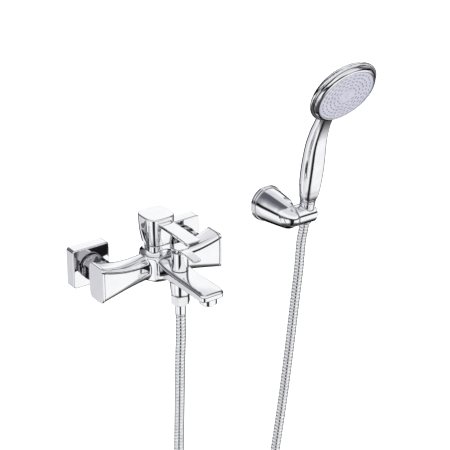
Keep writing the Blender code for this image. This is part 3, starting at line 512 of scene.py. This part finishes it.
# ---------------------------------------------------------------- turned and faceted shapes
def spun(name, profile, count=72, place=None, sharp=35.0, shape=None):
    """Closed solid turned about Z from a closed (radius, height) outline; shape may flatten its sides."""
    angles = np.arange(count) * 2 * math.pi / count
    outline = np.array(profile)
    radii = np.repeat(outline[:, :1], count, 1)
    if shape is not None:
        radii = shape(radii, outline[:, 1:], angles[None, :])
    heights = np.repeat(outline[:, 1:], count, 1)
    points = np.stack([radii * np.cos(angles), radii * np.sin(angles), heights], 2)
    points = np.concatenate([points, points[:1]])
    mesh = mesh_from_grid(name, points, closed_ends=False)
    builder = bmesh.new()
    builder.from_mesh(mesh)
    bmesh.ops.remove_doubles(builder, verts=builder.verts, dist=1e-6)
    bmesh.ops.dissolve_degenerate(builder, edges=builder.edges, dist=1e-7)
    bmesh.ops.recalc_face_normals(builder, faces=builder.faces)
    builder.to_mesh(mesh)
    builder.free()
    mesh.shade_smooth()
    mesh.set_sharp_from_angle(angle=math.radians(sharp))
    return linked(name, mesh, place)


def softened(profile, radius, steps=4):
    """Closed outline with each of its corners rounded by up to a radius."""
    made = []
    count = len(profile)
    for i in range(count):
        before, corner, after = (Vector(profile[(i + k) % count]) for k in (-1, 0, 1))
        a, b = before - corner, after - corner
        reach = min(radius, 0.45 * a.length, 0.45 * b.length)
        if corner.x < 1e-6 or a.length < 1e-9 or b.length < 1e-9:
            made.append(tuple(corner))
            continue
        start, end = corner + a.normalized() * reach, corner + b.normalized() * reach
        for step in range(steps + 1):
            t = step / steps
            made.append(tuple(start.lerp(corner, t).lerp(corner.lerp(end, t), t)))
    return made


def hexagonal(radii, angles, across, start=0.0):
    """Radii cut to a hexagon of that half width across its flats, the first flat at an angle."""
    turned = (angles - start + math.pi / 6) % (math.pi / 3) - math.pi / 6
    return np.minimum(radii, across / np.cos(turned))


def along_y(x, z):
    """Lays a shape turned about Z along Y, so that its height becomes the y coordinate."""
    return Matrix.Translation((x, 0.0, z)) @ Matrix.Rotation(-math.pi / 2, 4, "X")


# ---------------------------------------------------------------- mixer body
ARM_STATIONS = (0.0, 0.026, 0.045, 0.062, 0.078, BODY_HALF)
ARM_TOPS = (0.0212, 0.0206, 0.0190, 0.0194, 0.0222, 0.0262)
ARM_BOTTOMS = (-0.0150, -0.0160, -0.0182, -0.0208, -0.0236, -0.0262)
ARM_DEPTHS = (0.0152, 0.0150, 0.0148, 0.0152, 0.0160, 0.0170)
SPOUT_STATIONS = (-0.206, -0.190, -0.160, -0.130, -0.112, -0.098, -0.085, -0.069)
SPOUT_WIDTHS = (0.0180, 0.0180, 0.0176, 0.0173, 0.0170, 0.0155, 0.0138, 0.0128)
SPOUT_TOPS = (0.0150, 0.0155, 0.0163, 0.0172, 0.0182, 0.0196, 0.0210, 0.0213)
SPOUT_BOTTOMS = (0.0042, 0.0036, 0.0036, 0.0030, 0.0002, -0.0065, -0.0125, -0.0145)


def arm_distance(x, y, z):
    """Arm whose section grows from an oval at the hub to a rounded square at its end."""
    reach = np.abs(x)
    top, bottom = eased(reach, ARM_STATIONS, ARM_TOPS), eased(reach, ARM_STATIONS, ARM_BOTTOMS)
    depth = eased(reach, ARM_STATIONS, ARM_DEPTHS)
    power = 2.15 + 2.9 * np.minimum(reach / BODY_HALF, 1.0) ** 2
    middle, half = 0.5 * (top + bottom), 0.5 * (top - bottom)
    return superellipse_distance(y - BODY_Y, z - middle, depth, half, power)


def spout_distance(x, y, z):
    """Flat spout, crowned across and falling a little toward its tip."""
    width = eased(y, SPOUT_STATIONS, SPOUT_WIDTHS)
    top, bottom = eased(y, SPOUT_STATIONS, SPOUT_TOPS), eased(y, SPOUT_STATIONS, SPOUT_BOTTOMS)
    plan = rounded(np.abs(x) - width, SPOUT_TIP_Y - y, 0.0080)
    crown = top - 0.0009 * np.clip(np.abs(x) / width, 0.0, 1.2) ** 2.5
    crown = crown - 0.0010 * np.clip((-0.180 - y) / 0.026, 0.0, 1.0) ** 2
    solid = rounded(rounded(plan, z - crown, 0.0042), bottom - z, 0.0014)
    return np.maximum(solid, y - BODY_Y)


HUB_RADIUS, HUB_MIDDLE, HUB_HALF = 0.0243, 0.00315, 0.01835
OUTLET_BOTTOM = -0.0204
OUTLET_HEIGHTS = (OUTLET_BOTTOM, -0.0180, -0.0140, -0.0060, 0.0030)
OUTLET_RADII = (0.0121, 0.0127, 0.0132, 0.0140, 0.0152)
DOWN, UP = 1, -1
BODY_HOLES = (              # place along Y, radius, level where the hole ends, and which way it is drilled
    (DIVERTER_Y, 0.0120, 0.0172, DOWN), (DIVERTER_Y, 0.0096, -0.0040, DOWN), (BODY_Y, 0.0130, -0.0070, DOWN),
    (AERATOR_Y, 0.0106, 0.0118, UP), (BODY_Y, 0.0085, -0.0115, DOWN), (DIVERTER_Y, 0.0107, -0.0100, UP),
    (DIVERTER_Y, 0.0070, 0.0020, UP))


def body_distance(x, y, z):
    """The casting: arms, hub, spout, shower outlet, inlet stubs, and the holes drilled in it."""
    arms = rounded(arm_distance(x, y, z), np.abs(x) - BODY_HALF, 0.0006)
    hub = rounded(np.hypot(x, y - BODY_Y) - HUB_RADIUS, np.abs(z - HUB_MIDDLE) - HUB_HALF, 0.0030)
    girth = eased(z, OUTLET_HEIGHTS, OUTLET_RADII)
    outlet = rounded(np.hypot(x, y - DIVERTER_Y) - girth, slab(z, OUTLET_BOTTOM, 0.0080), 0.0006)
    spout = smooth_min(spout_distance(x, y, z), outlet, 0.0030)
    made = smooth_min(smooth_min(arms, hub, 0.0020), spout, 0.0065)
    for side, _ in SIDES:
        stub = rounded(np.hypot(x - side * INLET_X, z) - 0.0125, slab(y, -0.0580, -0.0400), 0.0004)
        made = np.minimum(made, stub)
    for place, radius, end, way in BODY_HOLES:
        hollow = np.maximum(np.hypot(x, y - place) - radius, way * (end - z))
        made = smooth_max(made, -hollow, 0.0005)
    return made


finished(
    skin("mixer_casting", body_distance, (-0.0945, -0.207, -0.0275), (0.0945, -0.0395, 0.0275), 0.0010),
    "fixture", CHROME, "chrome", "mixer_body")


def cap_distance(x, y, z):
    start = BODY_HALF + GAP
    section = superellipse_distance(y - BODY_Y, z, 0.0174, 0.0266, 5.8)
    return rounded(section, np.abs(x - start - 0.0019) - 0.0019, 0.0009)


for side, word in SIDES:
    low, high = (BODY_HALF - 0.001, -0.0855, -0.0275), (BODY_HALF + 0.0045, -0.0495, 0.0275)
    cap = skin("end_cap_cover_" + word, cap_distance, low, high, 0.0005, polish=1)
    if side < 0:
        cap.data.transform(Matrix.Scale(-1, 4, (1, 0, 0)))
        cap.data.flip_normals()
    finished(cap, "fixture", CHROME, "chrome", "end_cap_" + word)


# ---------------------------------------------------------------- inlets
PLATE_HALF, PLATE_HOLLOW_HALF = 0.02875, 0.02655
PLATE_DEPTH, PLATE_HOLLOW_DEPTH = 0.0196, 0.0172


def plate_distance(x, y, z):
    """Square cover over the pipe, open to the wall, its front a little crowned."""
    crown = PLATE_DEPTH - 0.0006 * np.clip((x * x + z * z) / 0.0285 ** 2, 0.0, 2.0)
    square = rounded(np.abs(x) - PLATE_HALF, np.abs(z) - PLATE_HALF, 0.0045)
    outer = rounded(square, np.maximum(-y - crown, y), 0.0015)
    pocket = rounded(np.abs(x) - PLATE_HOLLOW_HALF, np.abs(z) - PLATE_HOLLOW_HALF, 0.0030)
    inner = np.maximum(pocket, -y - PLATE_HOLLOW_DEPTH)
    hole = np.hypot(x, z) - 0.0112
    return smooth_max(outer, -np.minimum(inner, hole), 0.0004)


NUT_OUTLINE = [
    (0.0143, -0.0226), (0.0180, -0.0226), (0.0187, -0.0233), (0.0187, -0.0250), (0.0183, -0.0262),
    (0.0170, -0.0268), (0.0186, -0.0276), (0.0186, -0.0458), (0.0160, -0.0470), (0.0134, -0.0470),
    (0.0134, -0.0440), (0.0143, -0.0436)]


def nut_section(radii, heights, angles):
    """Round flange toward the wall, hexagon in front of it."""
    faceted = hexagonal(radii, angles, 0.0161)
    return np.where((heights < -0.0272) & (radii > 0.0150), faceted, radii)


for side, word in SIDES:
    plate = skin(
        "wall_cover_" + word, plate_distance, (-0.029, -0.020, -0.029), (0.029, 0.0, 0.029), 0.0008,
        Matrix.Translation((side * INLET_X, 0.0, 0.0)))
    finished(plate, "fixture", CHROME, "chrome", "wall_plate_" + word)
    nut = spun(
        "union_nut_turned_" + word, softened(NUT_OUTLINE, 0.0004), 120,
        along_y(side * INLET_X, 0.0), 30.0, nut_section)
    # The union nut takes the darkened chrome, a painted dark reflection.
    finished(nut, "fixture", CHROME_PAINTED_DARK_REFLECTION, "chrome", "union_nut_" + word)


# ---------------------------------------------------------------- handle, collar and lever
DOME_HEIGHTS = (SEAM_Z + GAP, 0.0410, 0.0470, 0.0550, 0.0650, 0.0755, HANDLE_TOP)
DOME_HALVES = (0.0179, 0.0188, 0.0198, 0.0209, 0.0216, 0.0219, 0.0219)


def bar_distance(x, y, z, root, tip, halves, tops, thickness, corner, edge):
    """Flat lever that runs toward -Y from root to tip, drooping at its end and narrower below."""
    t = np.clip((root - y) / (root - tip), 0.0, 1.0)
    half = halves[0] + (halves[1] - halves[0]) * t
    top = tops[0] + (tops[1] - tops[0]) * t - 0.0018 * np.clip(1.4 * t - 0.4, 0.0, 1.0) ** 2
    undercut = 0.38 * np.maximum(top - 0.0010 - z, 0.0)
    plan = np.maximum(rounded(np.abs(x) - half + undercut, tip + undercut - y, corner), y - root)
    return rounded(plan, np.abs(z - top + 0.5 * thickness) - 0.5 * thickness, edge)


def handle_distance(x, y, z):
    """Square dome with its lever, hollow below, with a socket for the stem and a hole for the screw."""
    v = y - BODY_Y
    half = eased(z, DOME_HEIGHTS, DOME_HALVES)
    crown = HANDLE_TOP - 0.0004 * np.clip((x * x + v * v) / 0.02 ** 2, 0.0, 2.0)
    sides = superellipse_distance(x, v, half, half, 3.1)
    dome = rounded(sides, np.maximum(z - crown, SEAM_Z + GAP - z), 0.0019)
    lever = bar_distance(
        x, y, z, BODY_Y - 0.010, -0.1585, (0.0100, 0.0112), (0.0724, 0.0724), 0.0056, 0.0020, 0.0006)
    solid = smooth_min(dome, lever, 0.0012)
    inside = eased(z, (0.0330, 0.0410, 0.0470, 0.0550, 0.0660), (0.0150, 0.0156, 0.0166, 0.0177, 0.0183))
    hollow = np.maximum(superellipse_distance(x, v, inside, inside, 4.0), slab(z, 0.0300, 0.0660))
    stud = np.maximum(np.hypot(x, v) - 0.0070, slab(z, 0.0500, 0.0700))
    socket = np.maximum(np.maximum(np.abs(x), np.abs(v)) - 0.0038, slab(z, 0.0440, 0.0670))
    screw_hole = np.maximum(np.hypot(x, z - PIVOT_Z - 0.0270) - 0.0028, slab(v, 0.0, 0.0300))
    shell = smooth_min(smooth_max(solid, -hollow, 0.0004), stud, 0.0004)
    return np.maximum(shell, -np.minimum(socket, screw_hole))


def collar_distance(x, y, z):
    """Square neck that flares to a round skirt, hollow for the cartridge."""
    v = y - BODY_Y
    half = eased(z, (0.0218, 0.0260, 0.0310, SEAM_Z), (0.0180, 0.0178, 0.0178, 0.0178))
    skirt = eased(z, (0.0225, 0.0236, 0.0258, 0.0290, 0.0320), (0.0243, 0.0228, 0.0206, 0.0180, 0.0150))
    square = superellipse_distance(x, v, half, half, 3.3)
    outer = rounded(smooth_min(square, np.hypot(x, v) - skirt, 0.0020), slab(z, 0.0225, SEAM_Z), 0.0006)
    neck = superellipse_distance(x, v, 0.0143, 0.0143, 4.0)
    relief = np.maximum(np.maximum(0.0285 - z, -v), -neck)
    bore = np.minimum(np.maximum(np.hypot(x, v) - 0.0132, z - 0.0274), np.hypot(x, v) - 0.0088)
    return smooth_max(outer, -np.minimum(relief, bore), 0.0003)


finished(
    skin(
        "mixer_lever_handle", handle_distance, (-0.0215, -0.159, 0.0355), (0.0215, -0.0455, 0.0790), 0.0008),
    "handle", CHROME, "chrome", "mixer_handle")
finished(
    skin("handle_collar", collar_distance, (-0.0247, -0.0925, 0.0217), (0.0247, -0.0425, 0.0362), 0.0006),
    "handle_swivel", CHROME, "chrome", "trim_collar")


# ---------------------------------------------------------------- diverter, shower outlet and aerator
def diverter_distance(x, y, z):
    v = y - DIVERTER_Y
    half = eased(z, (0.0443, 0.0470, 0.0496, 0.0508), (0.0098, 0.0105, 0.0108, 0.0106))
    knob = rounded(superellipse_distance(x, v, half, half, 3.6), slab(z, 0.0443, 0.0508), 0.0006)
    lever = bar_distance(
        x, y, z, DIVERTER_Y - 0.004, -0.1670, (0.0072, 0.0063), (0.0500, 0.0480), 0.0036, 0.0020, 0.0005)
    solid = smooth_min(knob, lever, 0.0010)
    socket = np.maximum(np.hypot(x, v) - 0.0045, z - 0.0488)
    screw_hole = np.maximum(np.hypot(x, z - 0.0468) - 0.0016, slab(v, 0.0, 0.0200))
    return np.maximum(solid, -np.minimum(socket, screw_hole))


finished(
    skin("diverter_lever", diverter_distance, (-0.011, -0.1675, 0.0443), (0.011, -0.1140, 0.0510), 0.00055),
    "diverter", CHROME, "chrome", "diverter_handle")

AT_DIVERTER = Matrix.Translation((0.0, DIVERTER_Y, 0.0))
AT_AERATOR = Matrix.Translation((0.0, AERATOR_Y, 0.0))
BONNET_OUTLINE = [
    (0.0046, 0.0440), (0.0117, 0.0440), (0.0117, 0.0175), (0.0093, 0.0175), (0.0093, 0.0060),
    (0.0072, 0.0060), (0.0072, 0.0330), (0.0046, 0.0330)]
HOSE_NUT_OUTLINE = [
    (0.0107, -0.0207), (0.0122, -0.0207), (0.0134, -0.0214), (0.0134, -0.0328), (0.0120, -0.0340),
    (0.0078, -0.0340), (0.0078, -0.0330), (0.0107, -0.0330)]
FERRULE_OUTLINE = [
    (0.0050, -0.0320), (0.0100, -0.0320), (0.0100, -0.0327), (0.0076, -0.0329), (0.0074, -0.0352),
    (0.0071, -0.0356), (0.0071, -0.0364), (0.0074, -0.0368), (0.0074, -0.0490), (0.0071, -0.0494),
    (0.0071, -0.0499), (0.0074, -0.0503), (0.0074, -0.0510), (0.0070, FERRULE_BOTTOM),
    (0.0050, FERRULE_BOTTOM)]
AERATOR_OUTLINE = [
    (0.0088, 0.0108), (0.0102, 0.0108), (0.0102, 0.0038), (0.0118, 0.0036), (0.0118, -0.0052),
    (0.0110, -0.0060), (0.0092, -0.0060), (0.0088, -0.0056)]


def hose_nut_section(radii, heights, angles):
    """Hexagon outside, round bore."""
    return np.where(radii > 0.0112, hexagonal(radii, angles, 0.0116, math.radians(14.0)), radii)


finished(
    spun("diverter_stem", softened(BONNET_OUTLINE, 0.0006), 96, AT_DIVERTER),
    "fixture", CHROME, "chrome", "diverter_bonnet")
HOSE_NUT = finished(
    spun("hose_nut_turned", softened(HOSE_NUT_OUTLINE, 0.0003), 120, AT_DIVERTER, 30.0, hose_nut_section),
    "fixture", SATIN_CHROME, "chrome", "hose_nut")
FERRULE = finished(
    spun("hose_ferrule_turned", softened(FERRULE_OUTLINE, 0.0002), 72, AT_DIVERTER),
    "fixture", CHROME, "chrome", "hose_ferrule")
finished(
    spun("aerator_shell", softened(AERATOR_OUTLINE, 0.0004), 96, AT_AERATOR),
    "fixture", CHROME, "chrome", "aerator_housing")


# ---------------------------------------------------------------- wall holder
CONE_PLACES = (-0.0680, -0.0600, -0.0500, -0.0320, -0.0150, -0.0083)
CONE_RADII = (0.0164, 0.0188, 0.0204, 0.0228, 0.0248, 0.0252)
NOSE_TIP, NOSE_LENGTH, NOSE_START = -0.0788, 0.0188, -0.0600
SCREW_OFFSET = 0.0140


def arm_cone_distance(x, y, z):
    """Tapering arm of the holder, cut away beside its nose for the swivelling cup."""
    radius = np.hypot(x - HOLDER_X, z - HOLDER_Z)
    nose = np.sqrt(np.maximum(0.0, (y - NOSE_TIP) / NOSE_LENGTH)) * NOSE_LENGTH
    cone = np.minimum(eased(y, CONE_PLACES, CONE_RADII), np.where(y < NOSE_START, nose * 1.04, 1.0))
    solid = rounded(0.94 * (radius - cone), np.maximum(NOSE_TIP - y, y - CONE_PLACES[-1]), 0.0008)
    notch = np.maximum(0.2380 - x, y + 0.0400)
    inside = np.maximum(radius - np.interp(y, (-0.0370, -0.0140), (0.0185, 0.0216)), -0.0370 - y)
    pin = np.maximum(np.hypot(y - SWIVEL_Y, z - HOLDER_Z) - 0.0033, 0.2259 - x)
    grub = np.maximum(np.hypot(x - HOLDER_X, y + 0.0120) - 0.0022, z - HOLDER_Z)
    solid = smooth_max(solid, -notch, 0.0014)
    return np.maximum(solid, -np.minimum(np.minimum(inside, pin), grub))


finished(
    skin("holder_arm", arm_cone_distance, (0.2095, -0.0795, -0.0200), (0.2610, -0.0082, 0.0320), 0.0008),
    "fixture", PLASTIC_CHROME, "chromed_plastic", "bracket_arm")


def base_distance(x, y, z):
    """Stepped round foot of the holder with its two screw holes."""
    radius = np.hypot(x - HOLDER_X, z - HOLDER_Z)
    flange = rounded(radius - 0.0276, slab(y, -0.0043, 0.0), 0.0006)
    step = rounded(radius - 0.0266, slab(y, -0.0080, 0.0), 0.0006)
    holes = np.hypot(x - HOLDER_X, np.abs(z - HOLDER_Z) - SCREW_OFFSET)
    return smooth_max(np.minimum(flange, step), 0.0026 - holes, 0.0003)


finished(
    skin("holder_base", base_distance, (0.2075, -0.0082, -0.0218), (0.2631, 0.0, 0.0340), 0.0006),
    "fixture", PLASTIC_CHROME, "chromed_plastic", "bracket_base")


def cup_distance(x, y, z):
    """Cup around the cone of the hand shower, in coordinates whose origin is at the socket."""
    left, right = 0.2396 - SOCKET_X, 0.2730 - SOCKET_X
    drum = rounded(np.hypot(y, z) - 0.0152, slab(x, left, right), 0.0020)
    cone = np.hypot(x, y) - (0.0097 + 0.0658 * (z + 0.0155))
    slot = rounded(np.abs(y) - 0.0076, -x, 0.0)
    entry = np.maximum(np.hypot(y, z) - 0.0034, x - left - 0.0066)
    recess = np.maximum(np.hypot(y, z) - 0.0056, np.maximum(0.2437 - SOCKET_X - x, x))
    return smooth_max(drum, -np.minimum(np.minimum(cone, slot), np.minimum(entry, recess)), 0.0012)


finished(
    skin(
        "holder_cup_shell", cup_distance, (-0.0226, -0.0155, -0.0155), (0.0112, 0.0155, 0.0155), 0.0006,
        CUP_PLACE),
    "holder", PLASTIC_CHROME, "chromed_plastic", "holder_cup")


# ---------------------------------------------------------------- hand shower
CONE_OUTLINE = [
    (0.0102, 0.0240), (0.0118, 0.0240), (0.01165, 0.0216), (0.0113, 0.0212), (0.0113, 0.0206),
    (0.01158, 0.0202), (0.0094, -0.0125), (0.0092, -0.0155), (0.0077, -0.0155), (0.0077, 0.0070),
    (0.0102, 0.0070)]
finished(
    spun("hand_shower_cone", softened(CONE_OUTLINE, 0.0004), 96, CUP_PLACE),
    "handset", PLASTIC_CHROME, "chromed_plastic", "cone_nut")

GRIP_HEIGHTS = (0.0243, 0.030, 0.040, 0.060, 0.075, 0.095, 0.115, 0.135, 0.157, 0.175, 0.192)
GRIP_WIDTHS = (0.0118, 0.0140, 0.0154, 0.0166, 0.0168, 0.0163, 0.0151, 0.0134, 0.0120, 0.0122, 0.0130)
GRIP_DEPTHS = (0.0112, 0.0132, 0.0146, 0.0158, 0.0161, 0.0155, 0.0143, 0.0127, 0.0108, 0.0100, 0.0092)
NECK_BEND, BEND_LENGTH, BEND_DEPTH = 0.105, 0.052, 0.0082
GRIP_LOW, GRIP_HIGH = 0.0243, 0.1920
HEAD_IN_CUP = CUP_PLACE.inverted() @ HEAD_PLACE
HEAD_BACK = [
    (0.0, -0.0262), (0.0110, -0.0259), (0.0230, -0.0246), (0.0310, -0.0228), (0.0380, -0.0205),
    (0.0440, -0.0175), (0.0483, -0.0148), (0.0510, -0.0126), (0.0527, -0.0106), (0.0535, -0.0084),
    (0.0533, -0.0070), (0.0524, -0.0064), (0.0, -0.0064)]
HEAD_INSIDE = [
    (0.0, -0.0238), (0.0222, -0.0224), (0.0366, -0.0184), (0.0452, -0.0134), (0.0488, -0.0098),
    (0.0488, -0.0040), (0.0, -0.0040)]


def outline_distance(r, h, outline):
    """Distance from a solid turned from an outline, whose first and last points are on the axis."""
    nearest = np.full(r.shape, 1.0)
    inside = np.zeros(r.shape, bool)
    for (r0, h0), (r1, h1) in zip(outline, outline[1:]):
        dr, dh = r1 - r0, h1 - h0
        t = np.clip(((r - r0) * dr + (h - h0) * dh) / (dr * dr + dh * dh), 0.0, 1.0)
        nearest = np.minimum(nearest, np.hypot(r - r0 - t * dr, h - h0 - t * dh))
        if dh:
            crosses = (h0 > h) != (h1 > h)
            inside ^= crosses & (r < r0 + (h - h0) * dr / dh)
    return np.where(inside, -nearest, nearest)


def grip_distance(x, y, z, inset=0.0):
    """Oval grip that bends forward above its middle and is cut a little flat in front."""
    bent = np.maximum(z - NECK_BEND, 0.0) / BEND_LENGTH
    slope = 2 * BEND_DEPTH * bent / BEND_LENGTH
    forward = (-y - BEND_DEPTH * bent ** 2) / np.sqrt(1.0 + slope ** 2)
    half_x = eased(z, GRIP_HEIGHTS, GRIP_WIDTHS) - inset
    half_f = eased(z, GRIP_HEIGHTS, GRIP_DEPTHS) - inset
    oval = superellipse_distance(x, forward, half_x, half_f, 2.05)
    return smooth_max(oval, forward - 0.86 * half_f, 0.0005)


def handset_distance(x, y, z):
    """Grip and head in one shell, with the hollow behind the face and the way up the grip."""
    m = HEAD_IN_CUP.inverted()
    a, b, c = (m[i][0] * x + m[i][1] * y + m[i][2] * z + m[i][3] for i in range(3))
    radius = np.hypot(a, b)
    grip = rounded(grip_distance(x, y, z), np.maximum(GRIP_LOW - z, z - GRIP_HIGH), 0.0005)
    spigot = np.maximum(np.hypot(x, y) - 0.0098, slab(z, 0.0114, 0.0300))
    back = outline_distance(radius, c, HEAD_BACK)
    solid = smooth_min(np.minimum(grip, spigot), back, 0.0060)
    solid = np.maximum(solid, np.where(radius < 0.060, c + 0.0064, -1.0))
    hollow = outline_distance(radius, c, HEAD_INSIDE)
    bore = np.maximum(np.hypot(x, y) - 0.0064, slab(z, 0.0100, 0.0400))
    way = np.maximum(grip_distance(x, y, z, 0.0028), slab(z, 0.0340, 0.1830))
    return smooth_max(solid, -np.minimum(np.minimum(hollow, bore), way), 0.0004)


finished(
    skin(
        "hand_shower_shell", handset_distance, (-0.0540, -0.0800, 0.0110), (0.0540, 0.0170, 0.2780), 0.0011,
        CUP_PLACE),
    "handset", PLASTIC_CHROME, "chromed_plastic", "handset_body")

RING_OUTLINE = [
    (0.0441, 0.0004), (0.0452, 0.0006), (0.0470, -0.0004), (0.0486, -0.0020), (0.0495, -0.0040),
    (0.0492, -0.0061), (0.0482, -0.0061), (0.0482, -0.0085), (0.0466, -0.0085), (0.0466, -0.0036),
    (0.0441, -0.0026)]
FACE_OUTLINE = [
    (0.0026, 0.0006), (0.0120, 0.0005), (0.0300, 0.0), (0.0400, -0.0004), (0.0438, -0.0007),
    (0.0438, -0.0034), (0.0026, -0.0034)]
finished(
    spun("spray_face_ring", softened(RING_OUTLINE, 0.0004), 144, HEAD_PLACE),
    "handset", PLASTIC_CHROME, "chromed_plastic", "face_ring")
finished(
    spun("spray_face_plate", softened(FACE_OUTLINE, 0.0002), 144, HEAD_PLACE),
    "handset", FACE, "face_plastic", "spray_plate")

NOZZLE_RINGS = ((0.0148, 12), (0.0207, 16), (0.0266, 22), (0.0325, 26), (0.0384, 32))
PAIR_SPACING = 0.0022
NUB_SIDES = 12
NUB_OUTLINE = (
    (0.00072, -0.0004), (0.00068, 0.0003), (0.00056, 0.0007), (0.00042, 0.0008), (0.00026, 0.0007),
    (0.00022, 0.0002))


def nozzle_places():
    """Where the nubs stand on the spray face: pairs side by side, in rings."""
    for radius, count in NOZZLE_RINGS:
        level = np.interp(radius, (0.0, 0.030, 0.0438), (0.0006, 0.0, -0.0007))
        shift = 0.5 * (count % 4 == 2)
        for i in range(count):
            for offset in (-0.5, 0.5):
                angle = 2 * math.pi * (i + shift) / count + offset * PAIR_SPACING / radius
                yield radius * math.cos(angle), radius * math.sin(angle), level


def make_nozzles():
    """Soft nubs, each with its hole."""
    vertices, faces = [], []
    around = [2 * math.pi * k / NUB_SIDES for k in range(NUB_SIDES)]
    for cx, cy, level in nozzle_places():
        start = len(vertices)
        last = start + (len(NUB_OUTLINE) - 1) * NUB_SIDES
        vertices += [
            (cx + r * math.cos(a), cy + r * math.sin(a), level + h) for r, h in NUB_OUTLINE for a in around]
        for low in range(start, last, NUB_SIDES):
            high = low + NUB_SIDES
            for k in range(NUB_SIDES):
                after = (k + 1) % NUB_SIDES
                faces.append((low + k, low + after, high + after, high + k))
        faces.append(tuple(last + k for k in range(NUB_SIDES)))
        faces.append(tuple(start + k for k in reversed(range(NUB_SIDES))))
    mesh = bpy.data.meshes.new("spray_nozzles")
    mesh.from_pydata(vertices, [], faces)
    mesh.shade_smooth()
    mesh.set_sharp_from_angle(angle=math.radians(50))
    return linked("spray_nozzles", mesh, HEAD_PLACE)


finished(make_nozzles(), "handset", NOZZLE, "silicone")


# ---------------------------------------------------------------- floor, world and light
def make_floor():
    mesh = bpy.data.meshes.new("floor")
    corners = [(x * FLOOR_HALF, y * FLOOR_HALF, 0.0) for x, y in ((-1, -1), (1, -1), (1, 1), (-1, 1))]
    mesh.from_pydata(corners, [], [(0, 1, 2, 3)])
    floor = linked("floor", mesh)
    floor.location = (0.0, 0.0, FLOOR_Z)
    material = new_material("pale_floor", (0.93, 0.93, 0.94), 0.0, 0.9)
    shader_of(material).inputs["Emission Color"].default_value = (1.0, 1.0, 1.0, 1.0)
    shader_of(material).inputs["Emission Strength"].default_value = 0.85
    floor.data.materials.append(material)
    floor.visible_glossy = False


TO_CAMERA = Vector((*(CAMERA_PLACE - CAMERA_AIM).to_2d(), 0.0)).normalized()
TO_RIGHT = Vector((-TO_CAMERA.y, TO_CAMERA.x, 0.0))
# What the chrome reflects, as (place, level) pairs. Around: 0 and 1 are behind the object, 0.5 is at the
# camera, 0.194 is what a face to the left shows and 0.694 what a face to the front shows. Height: 0 is
# straight down, 0.5 level and 1 straight up.
BELOW = (
    (0.000, 0.01), (0.126, 0.02), (0.138, 0.85), (0.152, 1.00), (0.166, 0.58), (0.186, 0.74), (0.212, 0.80),
    (0.236, 1.00), (0.270, 1.00), (0.285, 0.55), (0.302, 0.95), (0.335, 0.72), (0.350, 1.00),
    (0.430, 1.00), (0.444, 0.50), (0.462, 0.02), (0.526, 0.02), (0.548, 0.90), (0.600, 1.00), (0.770, 1.00),
    (0.815, 0.55), (0.850, 0.03), (1.000, 0.01))
LEVELS = ((0.00, 1.0), (0.410, 1.0), (0.448, 0.0), (1.0, 0.0))
ABOVE = (
    (0.00, 0.02), (0.550, 0.02), (0.585, 0.80), (0.630, 1.00), (0.760, 1.00), (0.800, 0.84), (0.900, 0.76),
    (1.0, 0.80))
ABOVE_AROUND = (
    (0.00, 1.0), (0.065, 1.0), (0.084, 0.34), (0.110, 0.16), (0.200, 0.19), (0.240, 0.42), (0.262, 1.0),
    (0.738, 1.0), (0.768, 0.16), (0.905, 0.14), (0.930, 1.0), (1.0, 1.0))
FLOOR_FADE = ((0.00, 0.05), (0.085, 0.12), (0.125, 0.45), (0.158, 0.95), (0.180, 1.0), (1.0, 1.0))
LILAC = (0.12, 0.12, -0.02)  # what the middle greys lose in red, green and blue
STUDIO_STRENGTH = 1.05


def ramp_of(tree, value, stops, tint=(0.0, 0.0, 0.0)):
    """Colour ramp through (place, level) stops, whose middle greys are tinted."""
    ramp = tree.nodes.new("ShaderNodeValToRGB")
    elements = ramp.color_ramp.elements
    while len(elements) < len(stops):
        elements.new(0.5)
    for element, (position, level) in zip(elements, stops):
        element.position = position
        element.color = (*(level - t * level * (1.0 - level) for t in tint), 1.0)
    tree.links.new(value, ramp.inputs["Fac"])
    return ramp.outputs["Color"]


def multiplied(tree, a, b):
    mix = tree.nodes.new("ShaderNodeMix")
    mix.data_type = "RGBA"
    mix.blend_type = "MULTIPLY"
    mix.inputs["Factor"].default_value = 1.0
    tree.links.new(a, mix.inputs["A"])
    tree.links.new(b, mix.inputs["B"])
    return mix.outputs["Result"]


def make_world():
    """White room with dark bands behind the object, at the camera and along the horizon."""
    world = bpy.data.worlds.new("studio")
    world.use_nodes = True
    bpy.context.scene.world = world
    tree = world.node_tree
    nodes, links = tree.nodes, tree.links
    where = nodes.new("ShaderNodeTexCoord").outputs["Generated"]

    def dot(direction):
        made = nodes.new("ShaderNodeVectorMath")
        made.operation = "DOT_PRODUCT"
        made.inputs[1].default_value = direction
        links.new(where, made.inputs[0])
        return made.outputs["Value"]

    def spread(value, low, high):
        made = nodes.new("ShaderNodeMapRange")
        made.inputs["From Min"].default_value = low
        made.inputs["From Max"].default_value = high
        links.new(value, made.inputs["Value"])
        return made.outputs["Result"]

    turn = nodes.new("ShaderNodeMath")
    turn.operation = "ARCTAN2"
    links.new(dot(TO_RIGHT), turn.inputs[0])
    links.new(dot(TO_CAMERA), turn.inputs[1])
    round_about = spread(turn.outputs[0], -math.pi, math.pi)
    height = spread(dot((0.0, 0.0, 1.0)), -1.0, 1.0)
    low = multiplied(
        tree, ramp_of(tree, round_about, BELOW, LILAC), ramp_of(tree, height, FLOOR_FADE))
    high = multiplied(
        tree, ramp_of(tree, height, ABOVE, LILAC), ramp_of(tree, round_about, ABOVE_AROUND, LILAC))
    share = ramp_of(tree, height, LEVELS)
    mix = nodes.new("ShaderNodeMix")
    mix.data_type = "RGBA"
    links.new(share, mix.inputs["Factor"])
    links.new(high, mix.inputs["A"])
    links.new(low, mix.inputs["B"])
    links.new(mix.outputs["Result"], nodes["Background"].inputs["Color"])
    nodes["Background"].inputs["Strength"].default_value = STUDIO_STRENGTH


make_floor()
make_world()
bpy.context.scene.view_settings.view_transform = "Standard"
